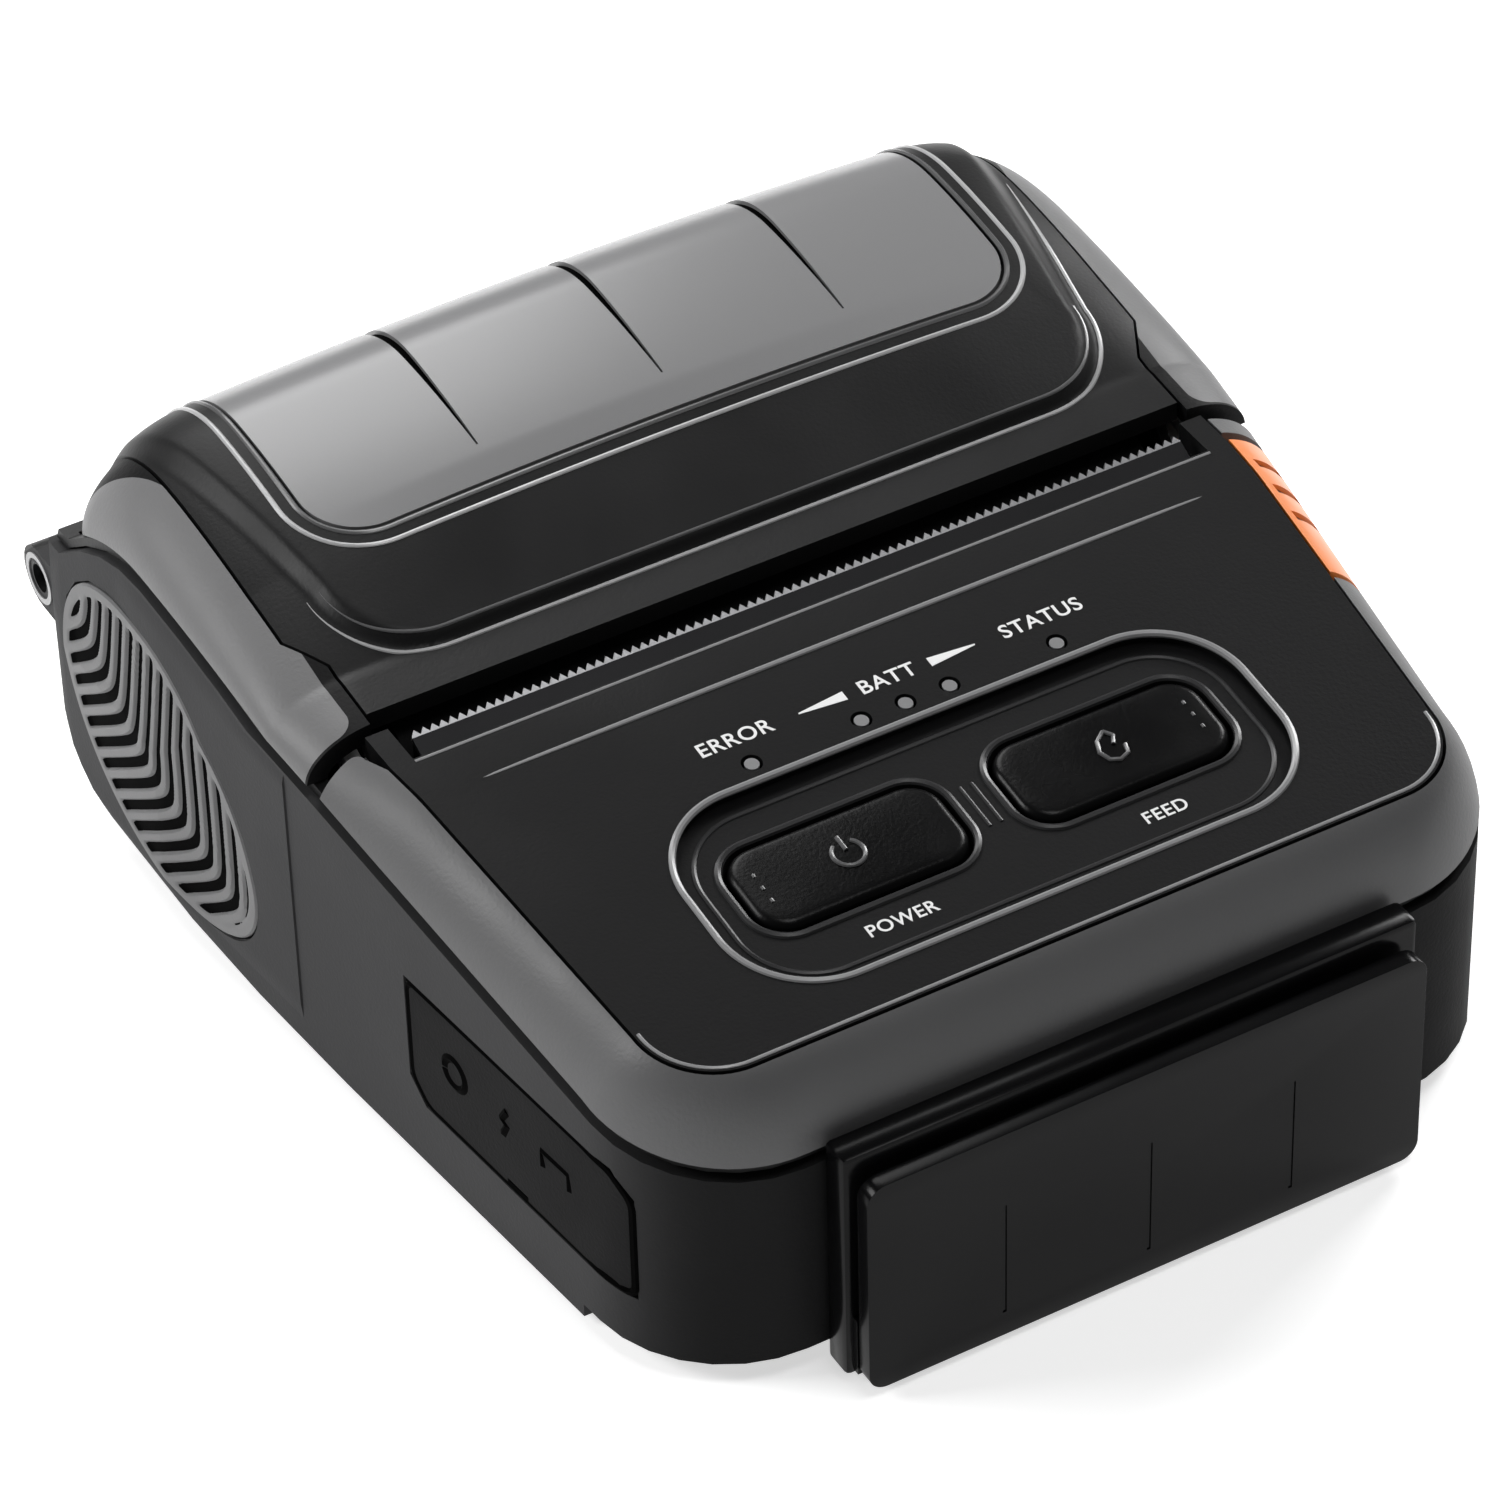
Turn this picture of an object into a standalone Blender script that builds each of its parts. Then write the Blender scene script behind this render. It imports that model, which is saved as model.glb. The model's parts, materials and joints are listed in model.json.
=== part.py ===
"""Mobile receipt printer: a clamshell case with a card swipe reader on its front.

Metres, +Z up, front towards -Y. The origin is on the table, in the middle of the box round the
printer. Distances along Y are named from the tear bar, which the paper passes.
"""
import math

import bmesh
import bpy
from mathutils import Matrix, Vector

# Overall shape of the case, measured from the tear bar
half_paper = 0.0400
tear_to_face = 0.0593
tear_to_hinge = 0.0593
case_front = 0.0530
case_rear = 0.0555
rear_lean = 0.0024
case_bottom = 0.0009
case_wall = 0.0022
case_floor = 0.0035
front_corner_radius = 0.0140
rear_corner_radius = 0.0060
under_radius = 0.0200
side_edge_radius = 0.0030
front_half_width = half_paper + 0.0053
slot_half_width = half_paper + 0.0095
crease_distance = 0.0110
crease_half_width = half_paper + 0.0106
bulge_distance = 0.0300
grip_half_width = half_paper + 0.0124
shoulder_start_height = 0.0200
shoulder_half_width = half_paper + 0.0104
cut_overrun = 0.0100
tall = 0.0700
seat_gap = 0.0003
fit_gap = 0.0004
merge_distance = 0.000002

# Seam between the lower case and what closes it
seam_gap = 0.0016
seam_front_height = 0.0258
seam_slot_height = 0.0350
seam_slot_distance = 0.0020
seam_crest_height = 0.0375
seam_crest_distance = 0.0340
seam_rear_height = 0.0308
seam_rear_distance = 0.0505
gasket_inset = 0.0008
gasket_width = 0.0014

# Control panel, its recess, buttons and light guide
panel_plane_height = 0.03978
panel_slope = 0.119
panel_thickness = 0.0024
panel_front = 0.0485
panel_crease = 0.0083
panel_slot_front = 0.0032
panel_ear_end = 0.0016
panel_rear_half_width = half_paper + 0.0041
panel_front_half_width = half_paper + 0.0009
panel_corner_radius = 0.0075
slot_mouth_half_length = half_paper + 0.0018
recess_distance = 0.0320
recess_half_length = 0.0290
recess_half_width = 0.0118
recess_corner_radius = 0.0090
recess_depth = 0.0011
button_distance = 0.0310
button_offset = 0.0136
button_half_length = 0.0108
button_half_width = 0.0050
button_corner_radius = 0.0032
button_sink = 0.0006
button_height = 0.0034
button_edge = 0.0005
led_distance = 0.0182
led_outer_offset = 0.0159
led_inner_offset = 0.0046
led_radius = 0.0007
led_sink = 0.0001
guide_bar_height = 0.0010
guide_bar_half_width = 0.0014
switch_board_depth = 0.0062
switch_board_thickness = 0.0012
switch_board_half_length = 0.0300
switch_board_front = 0.0420
switch_board_rear = 0.0150
switch_half_width = 0.0022
button_travel = 0.0008
post_radius = 0.0014
post_offset = 0.0268
post_front = 0.0402
post_rear = 0.0172

# Bezel round the panel and the release lever in its right arm
bezel_thickness = 0.0018
bezel_rear_end = 0.0008
bezel_fullness = 0.55
bezel_corner_front = 0.0016
lever_front = 0.0222
lever_rear = 0.0028
lever_gap = 0.0008
lever_rib_count = 3
lever_rib_spacing = 0.0030
lever_rib_width = 0.0010
lever_rib_depth = 0.0006
lever_rib_first = 0.0066
lever_rib_lift = 0.0008
lever_pivot_setback = 0.0016
lever_pivot_lift = 0.0012
lever_boss_radius = 0.0013
lever_boss_inset = 0.0030
lever_boss_length = 0.0012
lever_pin_radius = 0.0006
lever_pin_bore = 0.0007
lug_width = 0.0012
lug_half_length = 0.0014
lug_foot_drop = 0.0080
lug_rise = 0.0008

# Lid
lid_thickness = 0.0020
lid_front = 0.0036
strip_front = 0.0024
lid_front_height = 0.0395
lid_front_rise = 0.0005
lid_step_distance = 0.0080
lid_step_run = 0.0010
lid_step_rise = 0.0012
lid_rise = 0.0068
lid_crest_height = lid_front_height + lid_rise
lid_crest_distance = 0.0390
lid_rear_radius = 0.0140
lid_rear_angle = 1.65
lid_crown = 0.0014
lid_flat_half_width = half_paper - 0.0030
lid_front_flat_half_width = half_paper + 0.0025
lid_plan_corner_radius = 0.0080
lid_curve_power = 1.7
strip_edge_front = half_paper + 0.0028
strip_edge_rear = half_paper + 0.0052
strip_turn_start = 0.0105
strip_turn_end = 0.0150
window_front = 0.0212
window_half_width = half_paper - 0.0030
window_corner_radius = 0.0060
window_rear_angle = 1.05
window_thickness = 0.0009
window_seat_depth = 0.0012
groove_spacing = 0.0195
groove_width = 0.0008
groove_depth = 0.0005
groove_front = 0.0252
inner_inset = 0.0025
inner_thickness = 0.0012
inner_front = 0.0046
inner_rear_angle = 0.90
inner_half_width = half_paper + 0.0029

# Hinge at the rear
hinge_height = 0.0195
hinge_barrel_radius = 0.0034
hinge_pin_radius = 0.0012
hinge_bore_radius = 0.0015
hinge_half_length = half_paper + 0.0100
hinge_lid_half_length = half_paper
hinge_ear_start = half_paper + 0.0006
hinge_pin_recess = 0.0008
leaf_thickness = 0.0020
leaf_gap = 0.0007

# Paper bay
roll_distance = 0.0320
roll_height = 0.0238
bay_radius = 0.0184
bay_wall = 0.0008
bay_half_length = half_paper
bay_cheek = 0.0010
bay_front_angle = 2.60
bay_rear_angle = -0.10

# Print mechanism: platen, gears, head and frame
platen_distance = 0.0070
platen_height = 0.0307
platen_radius = 0.0050
platen_half_length = half_paper - 0.0004
platen_shaft_radius = 0.0020
shaft_gap = 0.0001
gear_module = 0.0005
platen_teeth = 18
idler_teeth = 25
pinion_teeth = 10
gear_start = half_paper + 0.0048
gear_thickness = 0.0018
gear_backlash = 0.00016
gear_addendum = 0.00042
gear_dedendum = 0.00058
gear_flank_slope = 0.36
shaft_overhang = 0.0003
motor_distance = 0.0015
motor_height = 0.0128
motor_radius = 0.0072
motor_length = 0.0200
motor_shaft_radius = 0.0008
motor_shaft_depth = 0.0030
stud_radius = 0.0012
frame_plate_start = half_paper + 0.0032
frame_plate_thickness = 0.0010
frame_front = 0.0098
frame_rear = 0.0124
frame_bottom = 0.0048
frame_top = 0.0348
web_top = 0.0342
bush_radius = 0.0033
bush_overhang = 0.00025
cheek_start = half_paper + 0.0017
cheek_thickness = 0.0010
cheek_bottom = 0.0280
cheek_front = 0.0038
cheek_rear = 0.0113
cheek_brow = 0.0340
head_gap = 0.0003
head_thickness = 0.0012
head_bottom = 0.0250
head_top = 0.0362
head_half_length = half_paper - 0.0006
sink_thickness = 0.0028
sink_bottom = 0.0244
spring_radius = 0.0021
spring_wire_radius = 0.0003
spring_turns = 4
spring_offset = 0.0220
tear_bar_half_length = half_paper + 0.0005
tear_bar_height = 0.0390
tear_bar_width = 0.0030
tear_bar_thickness = 0.0005
tear_bar_tilt = 0.46
tear_tooth_count = 87
tear_tooth_depth = 0.0006
latch_distance = -0.0035
latch_height = 0.0226
latch_shaft_radius = 0.0009
latch_plate_start = half_paper + 0.0002
latch_plate_thickness = 0.0008
latch_boss_radius = 0.0020
latch_nose_thickness = 0.0012
latch_nose_start_angle = 4.10
latch_nose_end_angle = 2.55
sensor_offset = 0.0120
sensor_half_width = 0.0020
sensor_depth = 0.0022
sensor_bottom = 0.0205
sensor_top = 0.0250

# Electronics and battery
board_height = 0.0222
board_thickness = 0.0014
board_front = 0.0455
board_rear = 0.0116
board_half_length = half_paper - 0.0030
battery_front = 0.0420
battery_rear = 0.0125
battery_bottom = 0.0050
battery_top = 0.0204
battery_inner_end = 0.0200
tray_wall = 0.0008
tray_right_end = half_paper
contact_thickness = 0.0016
contact_half_width = 0.0080
port_front = 0.0448
port_rear = 0.0120
port_bottom = 0.0086
port_top = 0.0222
port_corner_cut = 0.0024
port_cover_thickness = 0.0013
port_hinge_lift = 0.0008
port_notch_half_width = 0.0016
port_notch_height = 0.0007
socket_setback = 0.0004
socket_length = 0.0105
jack_distance = 0.0190
jack_half_width = 0.0045
jack_bore_radius = 0.0030
jack_pin_radius = 0.0010
interface_distance = 0.0345
interface_half_width = 0.0065
interface_hole_half_width = 0.0046
socket_height = 0.0090
socket_hole_half_height = 0.0030
socket_hole_depth = 0.0085

# Card reader
reader_rail_depth = 0.0033
reader_slot_width = 0.0010
reader_half_length = 0.0296
reader_rail_height = 0.0270
reader_cover_height = 0.0252
reader_cover_half_length = 0.0288
reader_bottom = 0.0009
reader_slot_bottom = 0.0080
reader_edge = 0.0006
reader_head_half_length = 0.0040
reader_head_low = 0.0110
reader_head_high = 0.0190
reader_head_reach = 0.0002
reader_head_depth = 0.0020

# Grips, base plate, feet and screws
grip_distance = 0.0310
grip_height = 0.0179
grip_half_length = 0.0172
grip_half_height = 0.0136
grip_lean = 0.0042
grip_squareness = 2.3
grip_seat_depth = 0.0008
grip_rise = 0.0003
base_inset = 0.0016
base_rear = 0.0080
base_recess = 0.0015
step_distance = 0.0380
foot_radius = 0.0040
foot_thickness = 0.0006
foot_front_offset = half_paper - 0.0070
foot_front_distance = 0.0400
foot_rear_offset = half_paper - 0.0020
foot_rear_distance = 0.0300
screw_radius = 0.0013
screw_head_radius = 0.0023
screw_head_height = 0.0012
screw_length = 0.0090
screw_front_offset = half_paper - 0.0042
screw_front_distance = 0.0464
screw_rear_offset = half_paper + 0.0060
screw_rear_distance = 0.0180
boss_radius = 0.0026
boss_height = 0.0120
boss_bore_radius = 0.0017

# Places worked out from the sizes above
tear_y = (tear_to_face - tear_to_hinge - hinge_barrel_radius) / 2
hinge_y = tear_y + tear_to_hinge
front_y = tear_y - case_front
rear_y = tear_y + case_rear
face_y = tear_y - tear_to_face
crest_y = tear_y + lid_crest_distance
platen_y = tear_y + platen_distance
motor_y = tear_y + motor_distance
latch_y = tear_y + latch_distance
roll_y = tear_y + roll_distance
taper = (slot_half_width - front_half_width) / (case_front - front_corner_radius)
quarter = math.pi / 2

# Steps round a full turn, and rows along curved pieces
round_steps = 24
small_steps = 14
corner_steps = 7
lid_rows = 6


def clear_scene():
    for old in list(bpy.data.objects):
        bpy.data.objects.remove(old, do_unlink=True)


def new_collection(name):
    made = bpy.data.collections.new(name)
    bpy.context.scene.collection.children.link(made)
    return made


clear_scene()
printer = new_collection("mobile_printer")
cutters = new_collection("cutters")


def material(name, color, roughness, metallic=0):
    made = bpy.data.materials.new(name)
    made.use_nodes = True
    shader = made.node_tree.nodes["Principled BSDF"]
    shader.inputs["Base Color"].default_value = (*color, 1)
    shader.inputs["Roughness"].default_value = roughness
    shader.inputs["Metallic"].default_value = metallic
    return made


black_plastic = material("black_plastic", (0.022, 0.022, 0.023), 0.45)
gloss_black = material("gloss_black", (0.012, 0.012, 0.013), 0.18)
grey_plastic = material("grey_plastic", (0.17, 0.17, 0.172), 0.5)
window_plastic = material("window_plastic", (0.42, 0.42, 0.425), 0.3)
orange_plastic = material("orange_plastic", (0.85, 0.24, 0.05), 0.35)
dark_rubber = material("dark_rubber", (0.045, 0.045, 0.047), 0.75)
steel = material("steel", (0.62, 0.62, 0.64), 0.3, 1)
aluminium = material("aluminium", (0.72, 0.73, 0.74), 0.4, 1)
board_green = material("board_green", (0.02, 0.14, 0.07), 0.5)
white_plastic = material("white_plastic", (0.7, 0.7, 0.68), 0.45)
clear_guide = material("clear_guide", (0.45, 0.45, 0.44), 0.25)


def finish(obj, surface):
    """Give an object its material."""
    obj.data.materials.clear()
    if surface is not None:
        obj.data.materials.append(surface)
    return obj


def from_bmesh(name, shape, surface):
    mesh = bpy.data.meshes.new(name)
    shape.to_mesh(mesh)
    shape.free()
    obj = bpy.data.objects.new(name, mesh)
    printer.objects.link(obj)
    return finish(obj, surface)


def as_cutter(obj):
    """Move an object to the cutters, which are no part of the printer."""
    for held in list(obj.users_collection):
        held.objects.unlink(obj)
    cutters.objects.link(obj)
    obj.hide_render = True
    obj.display_type = "WIRE"
    return obj


def frozen(obj):
    """Keep an object's evaluated mesh, with no modifier left on it."""
    bpy.context.view_layer.update()
    evaluated = obj.evaluated_get(bpy.context.evaluated_depsgraph_get())
    mesh = bpy.data.meshes.new_from_object(evaluated)
    obj.modifiers.clear()
    obj.data = mesh
    return obj


def box(name, low, high, surface=None):
    """A block between two opposite corners."""
    low, high = Vector(low), Vector(high)
    shape = bmesh.new()
    bmesh.ops.create_cube(shape, size=1)
    bmesh.ops.scale(shape, vec=high - low, verts=shape.verts)
    bmesh.ops.translate(shape, vec=(low + high) / 2, verts=shape.verts)
    bmesh.ops.recalc_face_normals(shape, faces=shape.faces)
    return from_bmesh(name, shape, surface)


axis_turns = {
    "X": Matrix(((0, 0, 1), (1, 0, 0), (0, 1, 0))).to_4x4(),
    "Y": Matrix(((1, 0, 0), (0, 0, -1), (0, 1, 0))).to_4x4(),
    "Z": Matrix.Identity(4),
}


def corners(outline):
    """An outline without doubled points, or points on the line between their neighbours."""
    spots = [spot for i, spot in enumerate(outline) if math.dist(spot, outline[i - 1]) > merge_distance]
    kept = []
    for i, (x, y) in enumerate(spots):
        (ax, ay), (bx, by) = spots[i - 1], spots[(i + 1) % len(spots)]
        if abs((x - ax) * (by - y) - (y - ay) * (bx - x)) > merge_distance ** 2:
            kept.append((x, y))
    return kept


def shape_of(name, curve):
    """A curve's surface, welded into one closed body."""
    drawn = bpy.data.objects.new(name + "_curve", curve)
    cutters.objects.link(drawn)
    bpy.context.view_layer.update()
    evaluated = drawn.evaluated_get(bpy.context.evaluated_depsgraph_get())
    mesh = bpy.data.meshes.new_from_object(evaluated)
    bpy.data.objects.remove(drawn, do_unlink=True)
    shape = bmesh.new()
    shape.from_mesh(mesh)
    bmesh.ops.remove_doubles(shape, verts=shape.verts, dist=merge_distance)
    bmesh.ops.recalc_face_normals(shape, faces=shape.faces)
    return shape


def prism(name, outline, axis, low, high, surface=None):
    """A flat outline carried along an axis: (y, z) along X, (x, z) along Y, (x, y) along Z."""
    outline = corners(outline)
    curve = bpy.data.curves.new(name, "CURVE")
    curve.dimensions = "2D"
    curve.fill_mode = "BOTH"
    curve.extrude = (high - low) / 2
    spline = curve.splines.new("POLY")
    spline.points.add(len(outline) - 1)
    for point, (across, along) in zip(spline.points, outline):
        point.co = (across, along, 0, 1)
    spline.use_cyclic_u = True
    shape = shape_of(name, curve)
    middle = (low + high) / 2
    bmesh.ops.translate(shape, vec=(0, 0, -middle if axis == "Y" else middle), verts=shape.verts)
    bmesh.ops.transform(shape, matrix=axis_turns[axis], verts=shape.verts)
    bmesh.ops.recalc_face_normals(shape, faces=shape.faces)
    return from_bmesh(name, shape, surface)


def rod(name, radius, axis, low, high, centre, surface=None, steps=round_steps):
    """A round bar along an axis, between two places on it, about (y, z), (x, z) or (x, y)."""
    shape = bmesh.new()
    bmesh.ops.create_cone(shape, cap_ends=True, segments=steps, radius1=radius, radius2=radius,
                          depth=high - low)
    first, second = centre
    middle = (low + high) / 2
    turns = {"X": Matrix.Rotation(quarter, 4, "Y"), "Y": Matrix.Rotation(quarter, 4, "X"),
             "Z": Matrix.Identity(4)}
    spots = {"X": (middle, first, second), "Y": (first, middle, second),
             "Z": (first, second, middle)}
    bmesh.ops.transform(shape, matrix=turns[axis], verts=shape.verts)
    bmesh.ops.translate(shape, vec=spots[axis], verts=shape.verts)
    return from_bmesh(name, shape, surface)


def boolean(target, other, operation):
    as_cutter(other)
    change = target.modifiers.new(operation.lower(), "BOOLEAN")
    change.operation = operation
    change.object = other
    return frozen(target)


def cut(target, other):
    return boolean(target, other, "DIFFERENCE")


def join(target, other):
    return boolean(target, other, "UNION")


def common(target, other):
    return boolean(target, other, "INTERSECT")


def set_origin(obj, spot):
    """Put an object's origin on its joint's axis, with its shape left where it is."""
    obj.data.transform(Matrix.Translation(-Vector(spot)))
    obj.location = spot
    return obj


def soften(obj, width):
    """Round an object's sharp edges a little."""
    edge = obj.modifiers.new("edge", "BEVEL")
    edge.width = width
    edge.segments = 2
    edge.limit_method = "ANGLE"
    edge.angle_limit = quarter / 2
    return frozen(obj)


def arc(centre, radius, start, end, count):
    """Points along an arc, both ends included; angles in radians."""
    angles = [start + (end - start) * i / count for i in range(count + 1)]
    return [(centre[0] + radius * math.cos(a), centre[1] + radius * math.sin(a)) for a in angles]


def rounded_box(centre, half_length, half_depth, radius, count=4):
    """Outline of a rectangle with round corners."""
    outline = []
    sides = ((1, 1), (-1, 1), (-1, -1), (1, -1))
    for turn, (side, end) in enumerate(sides):
        middle = (centre[0] + side * (half_length - radius), centre[1] + end * (half_depth - radius))
        outline += arc(middle, radius, turn * quarter, (turn + 1) * quarter, count)
    return outline


def mirrored(right):
    """Close an outline that is given on the right only."""
    return right + [(-x, y) for x, y in reversed(right) if x > 0]


def half_width(y):
    """Half width of the case at its widest height."""
    knots = [(tear_y - case_front + front_corner_radius, front_half_width),
             (tear_y, slot_half_width),
             (tear_y + crease_distance, crease_half_width),
             (tear_y + bulge_distance, grip_half_width)]
    if y <= knots[0][0]:
        return front_half_width
    for (y0, w0), (y1, w1) in zip(knots, knots[1:]):
        if y <= y1:
            return w0 + (w1 - w0) * (y - y0) / (y1 - y0)
    return grip_half_width


def case_plan(inset):
    """Outline of the case from above."""
    corner = (front_half_width - front_corner_radius, front_y + front_corner_radius)
    right = [(0, front_y + inset)]
    right += arc(corner, front_corner_radius - inset, -quarter, -math.atan(taper), corner_steps)
    for distance in (0, crease_distance, bulge_distance):
        y = tear_y + distance
        right.append((half_width(y) - inset, y))
    rear = (grip_half_width - rear_corner_radius, rear_y - rear_corner_radius)
    right += arc(rear, rear_corner_radius - inset, 0, quarter, 4)
    right.append((0, rear_y - inset))
    return mirrored(right)


def seam(y):
    """Height of the lower edge of the bezel and of the lid, along the case."""
    distance = y - tear_y
    if distance < seam_slot_distance:
        share = (distance + case_front) / (seam_slot_distance + case_front)
        return seam_front_height + (seam_slot_height - seam_front_height) * share
    if distance < seam_crest_distance:
        share = (distance - seam_slot_distance) / (seam_crest_distance - seam_slot_distance)
        return seam_slot_height + (seam_crest_height - seam_slot_height) * (1 - (1 - share) ** 2)
    share = min(1, (distance - seam_crest_distance) / (seam_rear_distance - seam_crest_distance))
    return seam_crest_height - (seam_crest_height - seam_rear_height) * share ** 2


def seam_places(front, rear):
    """Places along Y where the seam is drawn, between two ends."""
    slot = tear_y + seam_slot_distance
    crest = tear_y + seam_crest_distance
    last = tear_y + seam_rear_distance
    places = [slot + (crest - slot) * i / 4 for i in range(5)]
    places += [crest + (last - crest) * i / 4 for i in range(1, 5)]
    return [front] + [y for y in places if front < y < rear] + [rear]


def case_block(name, inset, floor, drop=None):
    """The solid of the case at an inset, open upwards or up to a drop below the seam."""
    block = prism(name, case_plan(inset), "Z", -cut_overrun, tall)
    under = (rear_y - under_radius, case_bottom + under_radius)
    reach = under_radius - inset
    lowest = math.asin(max(-1, (floor - under[1]) / reach))
    front = front_y - cut_overrun
    side = [(front, floor)] + arc(under, reach, lowest, 0, corner_steps)
    rear = rear_y - rear_lean - inset
    if drop is None:
        side += [(rear, seam_rear_height - seam_gap), (rear, tall), (front, tall)]
    else:
        rim = [(y, seam(y) - drop) for y in seam_places(front, rear)]
        side += list(reversed(rim))
    common(block, prism(name + "_side", side, "X", -tall, tall))
    wide = grip_half_width - inset
    edge = (wide - side_edge_radius, floor + side_edge_radius)
    narrow = shoulder_half_width - inset
    right = [(0, floor)] + arc(edge, side_edge_radius, -quarter, 0, 3)
    right += [(wide, shoulder_start_height), (narrow, seam_crest_height), (narrow, tall), (0, tall)]
    return common(block, prism(name + "_front", mirrored(right), "Y", -tall, tall))


def screw_spots():
    spots = []
    for side in (-1, 1):
        spots.append((side * screw_front_offset, tear_y - screw_front_distance))
        spots.append((side * screw_rear_offset, tear_y + screw_rear_distance))
    return spots


def port_outline(grow, notched=False):
    """Outline of the port cover in the left wall, as (y, z)."""
    front = tear_y - port_front - grow
    rear = tear_y - port_rear + grow
    low, high = port_bottom - grow, port_top + grow
    cut_back = port_corner_cut
    outline = [(front, low), (rear - cut_back, low), (rear, low + cut_back), (rear, high),
               (front + cut_back, high), (front, high - cut_back)]
    if notched:
        middle = (front + rear) / 2
        notch = [(middle - port_notch_half_width, low),
                 (middle - port_notch_half_width, low + port_notch_height),
                 (middle + port_notch_half_width, low + port_notch_height),
                 (middle + port_notch_half_width, low)]
        outline[1:1] = notch
    return outline


def grip_outline(grow):
    """Egg shape of the side grips, leaning back at its top."""
    outline = []
    for i in range(round_steps):
        angle = i * 4 * quarter / round_steps
        c, s = math.cos(angle), math.sin(angle)
        across = math.copysign(abs(c) ** (2 / grip_squareness), c)
        up = math.copysign(abs(s) ** (2 / grip_squareness), s)
        outline.append((tear_y + grip_distance + (grip_half_length + grow) * across + grip_lean * up,
                        grip_height + (grip_half_height + grow) * up))
    return outline


def grip_room(name, side, grow, inset):
    """A grip's outline carried outwards from a depth in the wall."""
    low, high = sorted((side * front_half_width, side * tall))
    room = prism(name, grip_outline(grow), "X", low, high)
    return cut(room, case_block(name + "_bed", inset, -cut_overrun / 2))


def lower_case():
    """Grey tub: cut out for the ports, battery, base plate and grips, with hinge ears behind."""
    case = case_block("lower_case", 0, case_bottom, seam_gap)
    finish(case, grey_plastic)
    cut(case, case_block("case_hollow", case_wall, case_bottom + case_floor))
    for side in (-1, 1):
        low, high = sorted((side * hinge_ear_start, side * hinge_half_length))
        ear = box("ear_arm", (low, rear_y - case_wall, hinge_height - hinge_barrel_radius),
                  (high, hinge_y, hinge_height + hinge_barrel_radius))
        join(ear, rod("ear_barrel", hinge_barrel_radius, "X", low, high, (hinge_y, hinge_height)))
        join(case, ear)
    reach = hinge_half_length + cut_overrun
    cut(case, rod("ear_bore", hinge_bore_radius, "X", -reach, reach, (hinge_y, hinge_height),
                  steps=small_steps))
    cut(case, base_shape("base_seat", base_inset - seat_gap, -cut_overrun,
                         case_bottom + base_recess, tear_y + base_rear + seat_gap))
    cut(case, box("front_step", (-tall, front_y - cut_overrun, -cut_overrun),
                  (tall, tear_y - step_distance, case_bottom + base_recess)))
    cut(case, box("battery_opening", (0, tear_y - battery_front - fit_gap,
                                      battery_bottom - fit_gap),
                  (tall, tear_y - battery_rear + fit_gap, battery_top + fit_gap)))
    cut(case, prism("port_opening", port_outline(fit_gap), "X", -tall, -board_half_length))
    for side in (-1, 1):
        cut(case, grip_room("grip_seat", side, seat_gap, grip_seat_depth))
    for spot in screw_spots():
        floor_top = case_bottom + case_floor
        join(case, rod("boss", boss_radius, "Z", floor_top - seat_gap, boss_height, spot,
                       steps=small_steps))
        cut(case, rod("boss_bore", boss_bore_radius, "Z", -cut_overrun,
                      boss_height + cut_overrun, spot, steps=small_steps))
        cut(case, rod("head_bore", screw_head_radius + seat_gap, "Z", -cut_overrun,
                      case_bottom + base_recess + screw_head_height, spot, steps=small_steps))
    return add_lever_lug(case)


def base_shape(name, inset, low, high, rear):
    """The case's outline, brought in and cut straight at the rear."""
    plate = prism(name, case_plan(inset), "Z", low, high)
    return cut(plate, box(name + "_end", (-tall, rear, -tall), (tall, rear + tall, tall)))


def base_plate():
    plate = base_shape("base_plate", base_inset, case_bottom,
                       case_bottom + base_recess - seat_gap, tear_y + base_rear)
    finish(plate, black_plastic)
    for spot in screw_spots():
        if spot[1] < tear_y:
            cut(plate, rod("plate_bore", screw_head_radius + seat_gap, "Z", -tall, tall, spot,
                           steps=small_steps))
    return plate


def feet_and_screws():
    feet = ((foot_front_offset, tear_y - foot_front_distance),
            (foot_rear_offset, tear_y + foot_rear_distance))
    number = 0
    for offset, y in feet:
        for side in (-1, 1):
            number += 1
            rod(f"rubber_foot_{number}", foot_radius, "Z", 0, foot_thickness, (side * offset, y),
                dark_rubber)
    for number, spot in enumerate(screw_spots(), 1):
        low = case_bottom + base_recess - seat_gap
        screw = rod(f"case_screw_{number}", screw_head_radius, "Z", low, low + screw_head_height,
                    spot, steel, small_steps)
        join(screw, rod("screw_shank", screw_radius, "Z", low + screw_head_height / 2,
                        low + screw_length, spot, steps=small_steps))


def seam_gasket():
    """Black strip in the seam, set back a little from the outside of the case."""
    ring = case_block("seam_gasket", gasket_inset, case_bottom, seat_gap)
    finish(ring, black_plastic)
    cut(ring, case_block("gasket_inside", gasket_inset + gasket_width, -cut_overrun / 2))
    front, rear = front_y - cut_overrun, rear_y + cut_overrun
    low = [(y, seam(y) - seam_gap + seat_gap) for y in seam_places(front, rear)]
    cut(ring, prism("gasket_low", low + [(rear, -tall), (front, -tall)], "X", -tall, tall))
    return ring


def plane_height(y):
    return panel_plane_height + panel_slope * (y - tear_y)


def panel_height(y):
    """Height of the control panel's top: a slope, then level behind its crease."""
    return min(plane_height(y), plane_height(tear_y - panel_crease))


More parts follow.
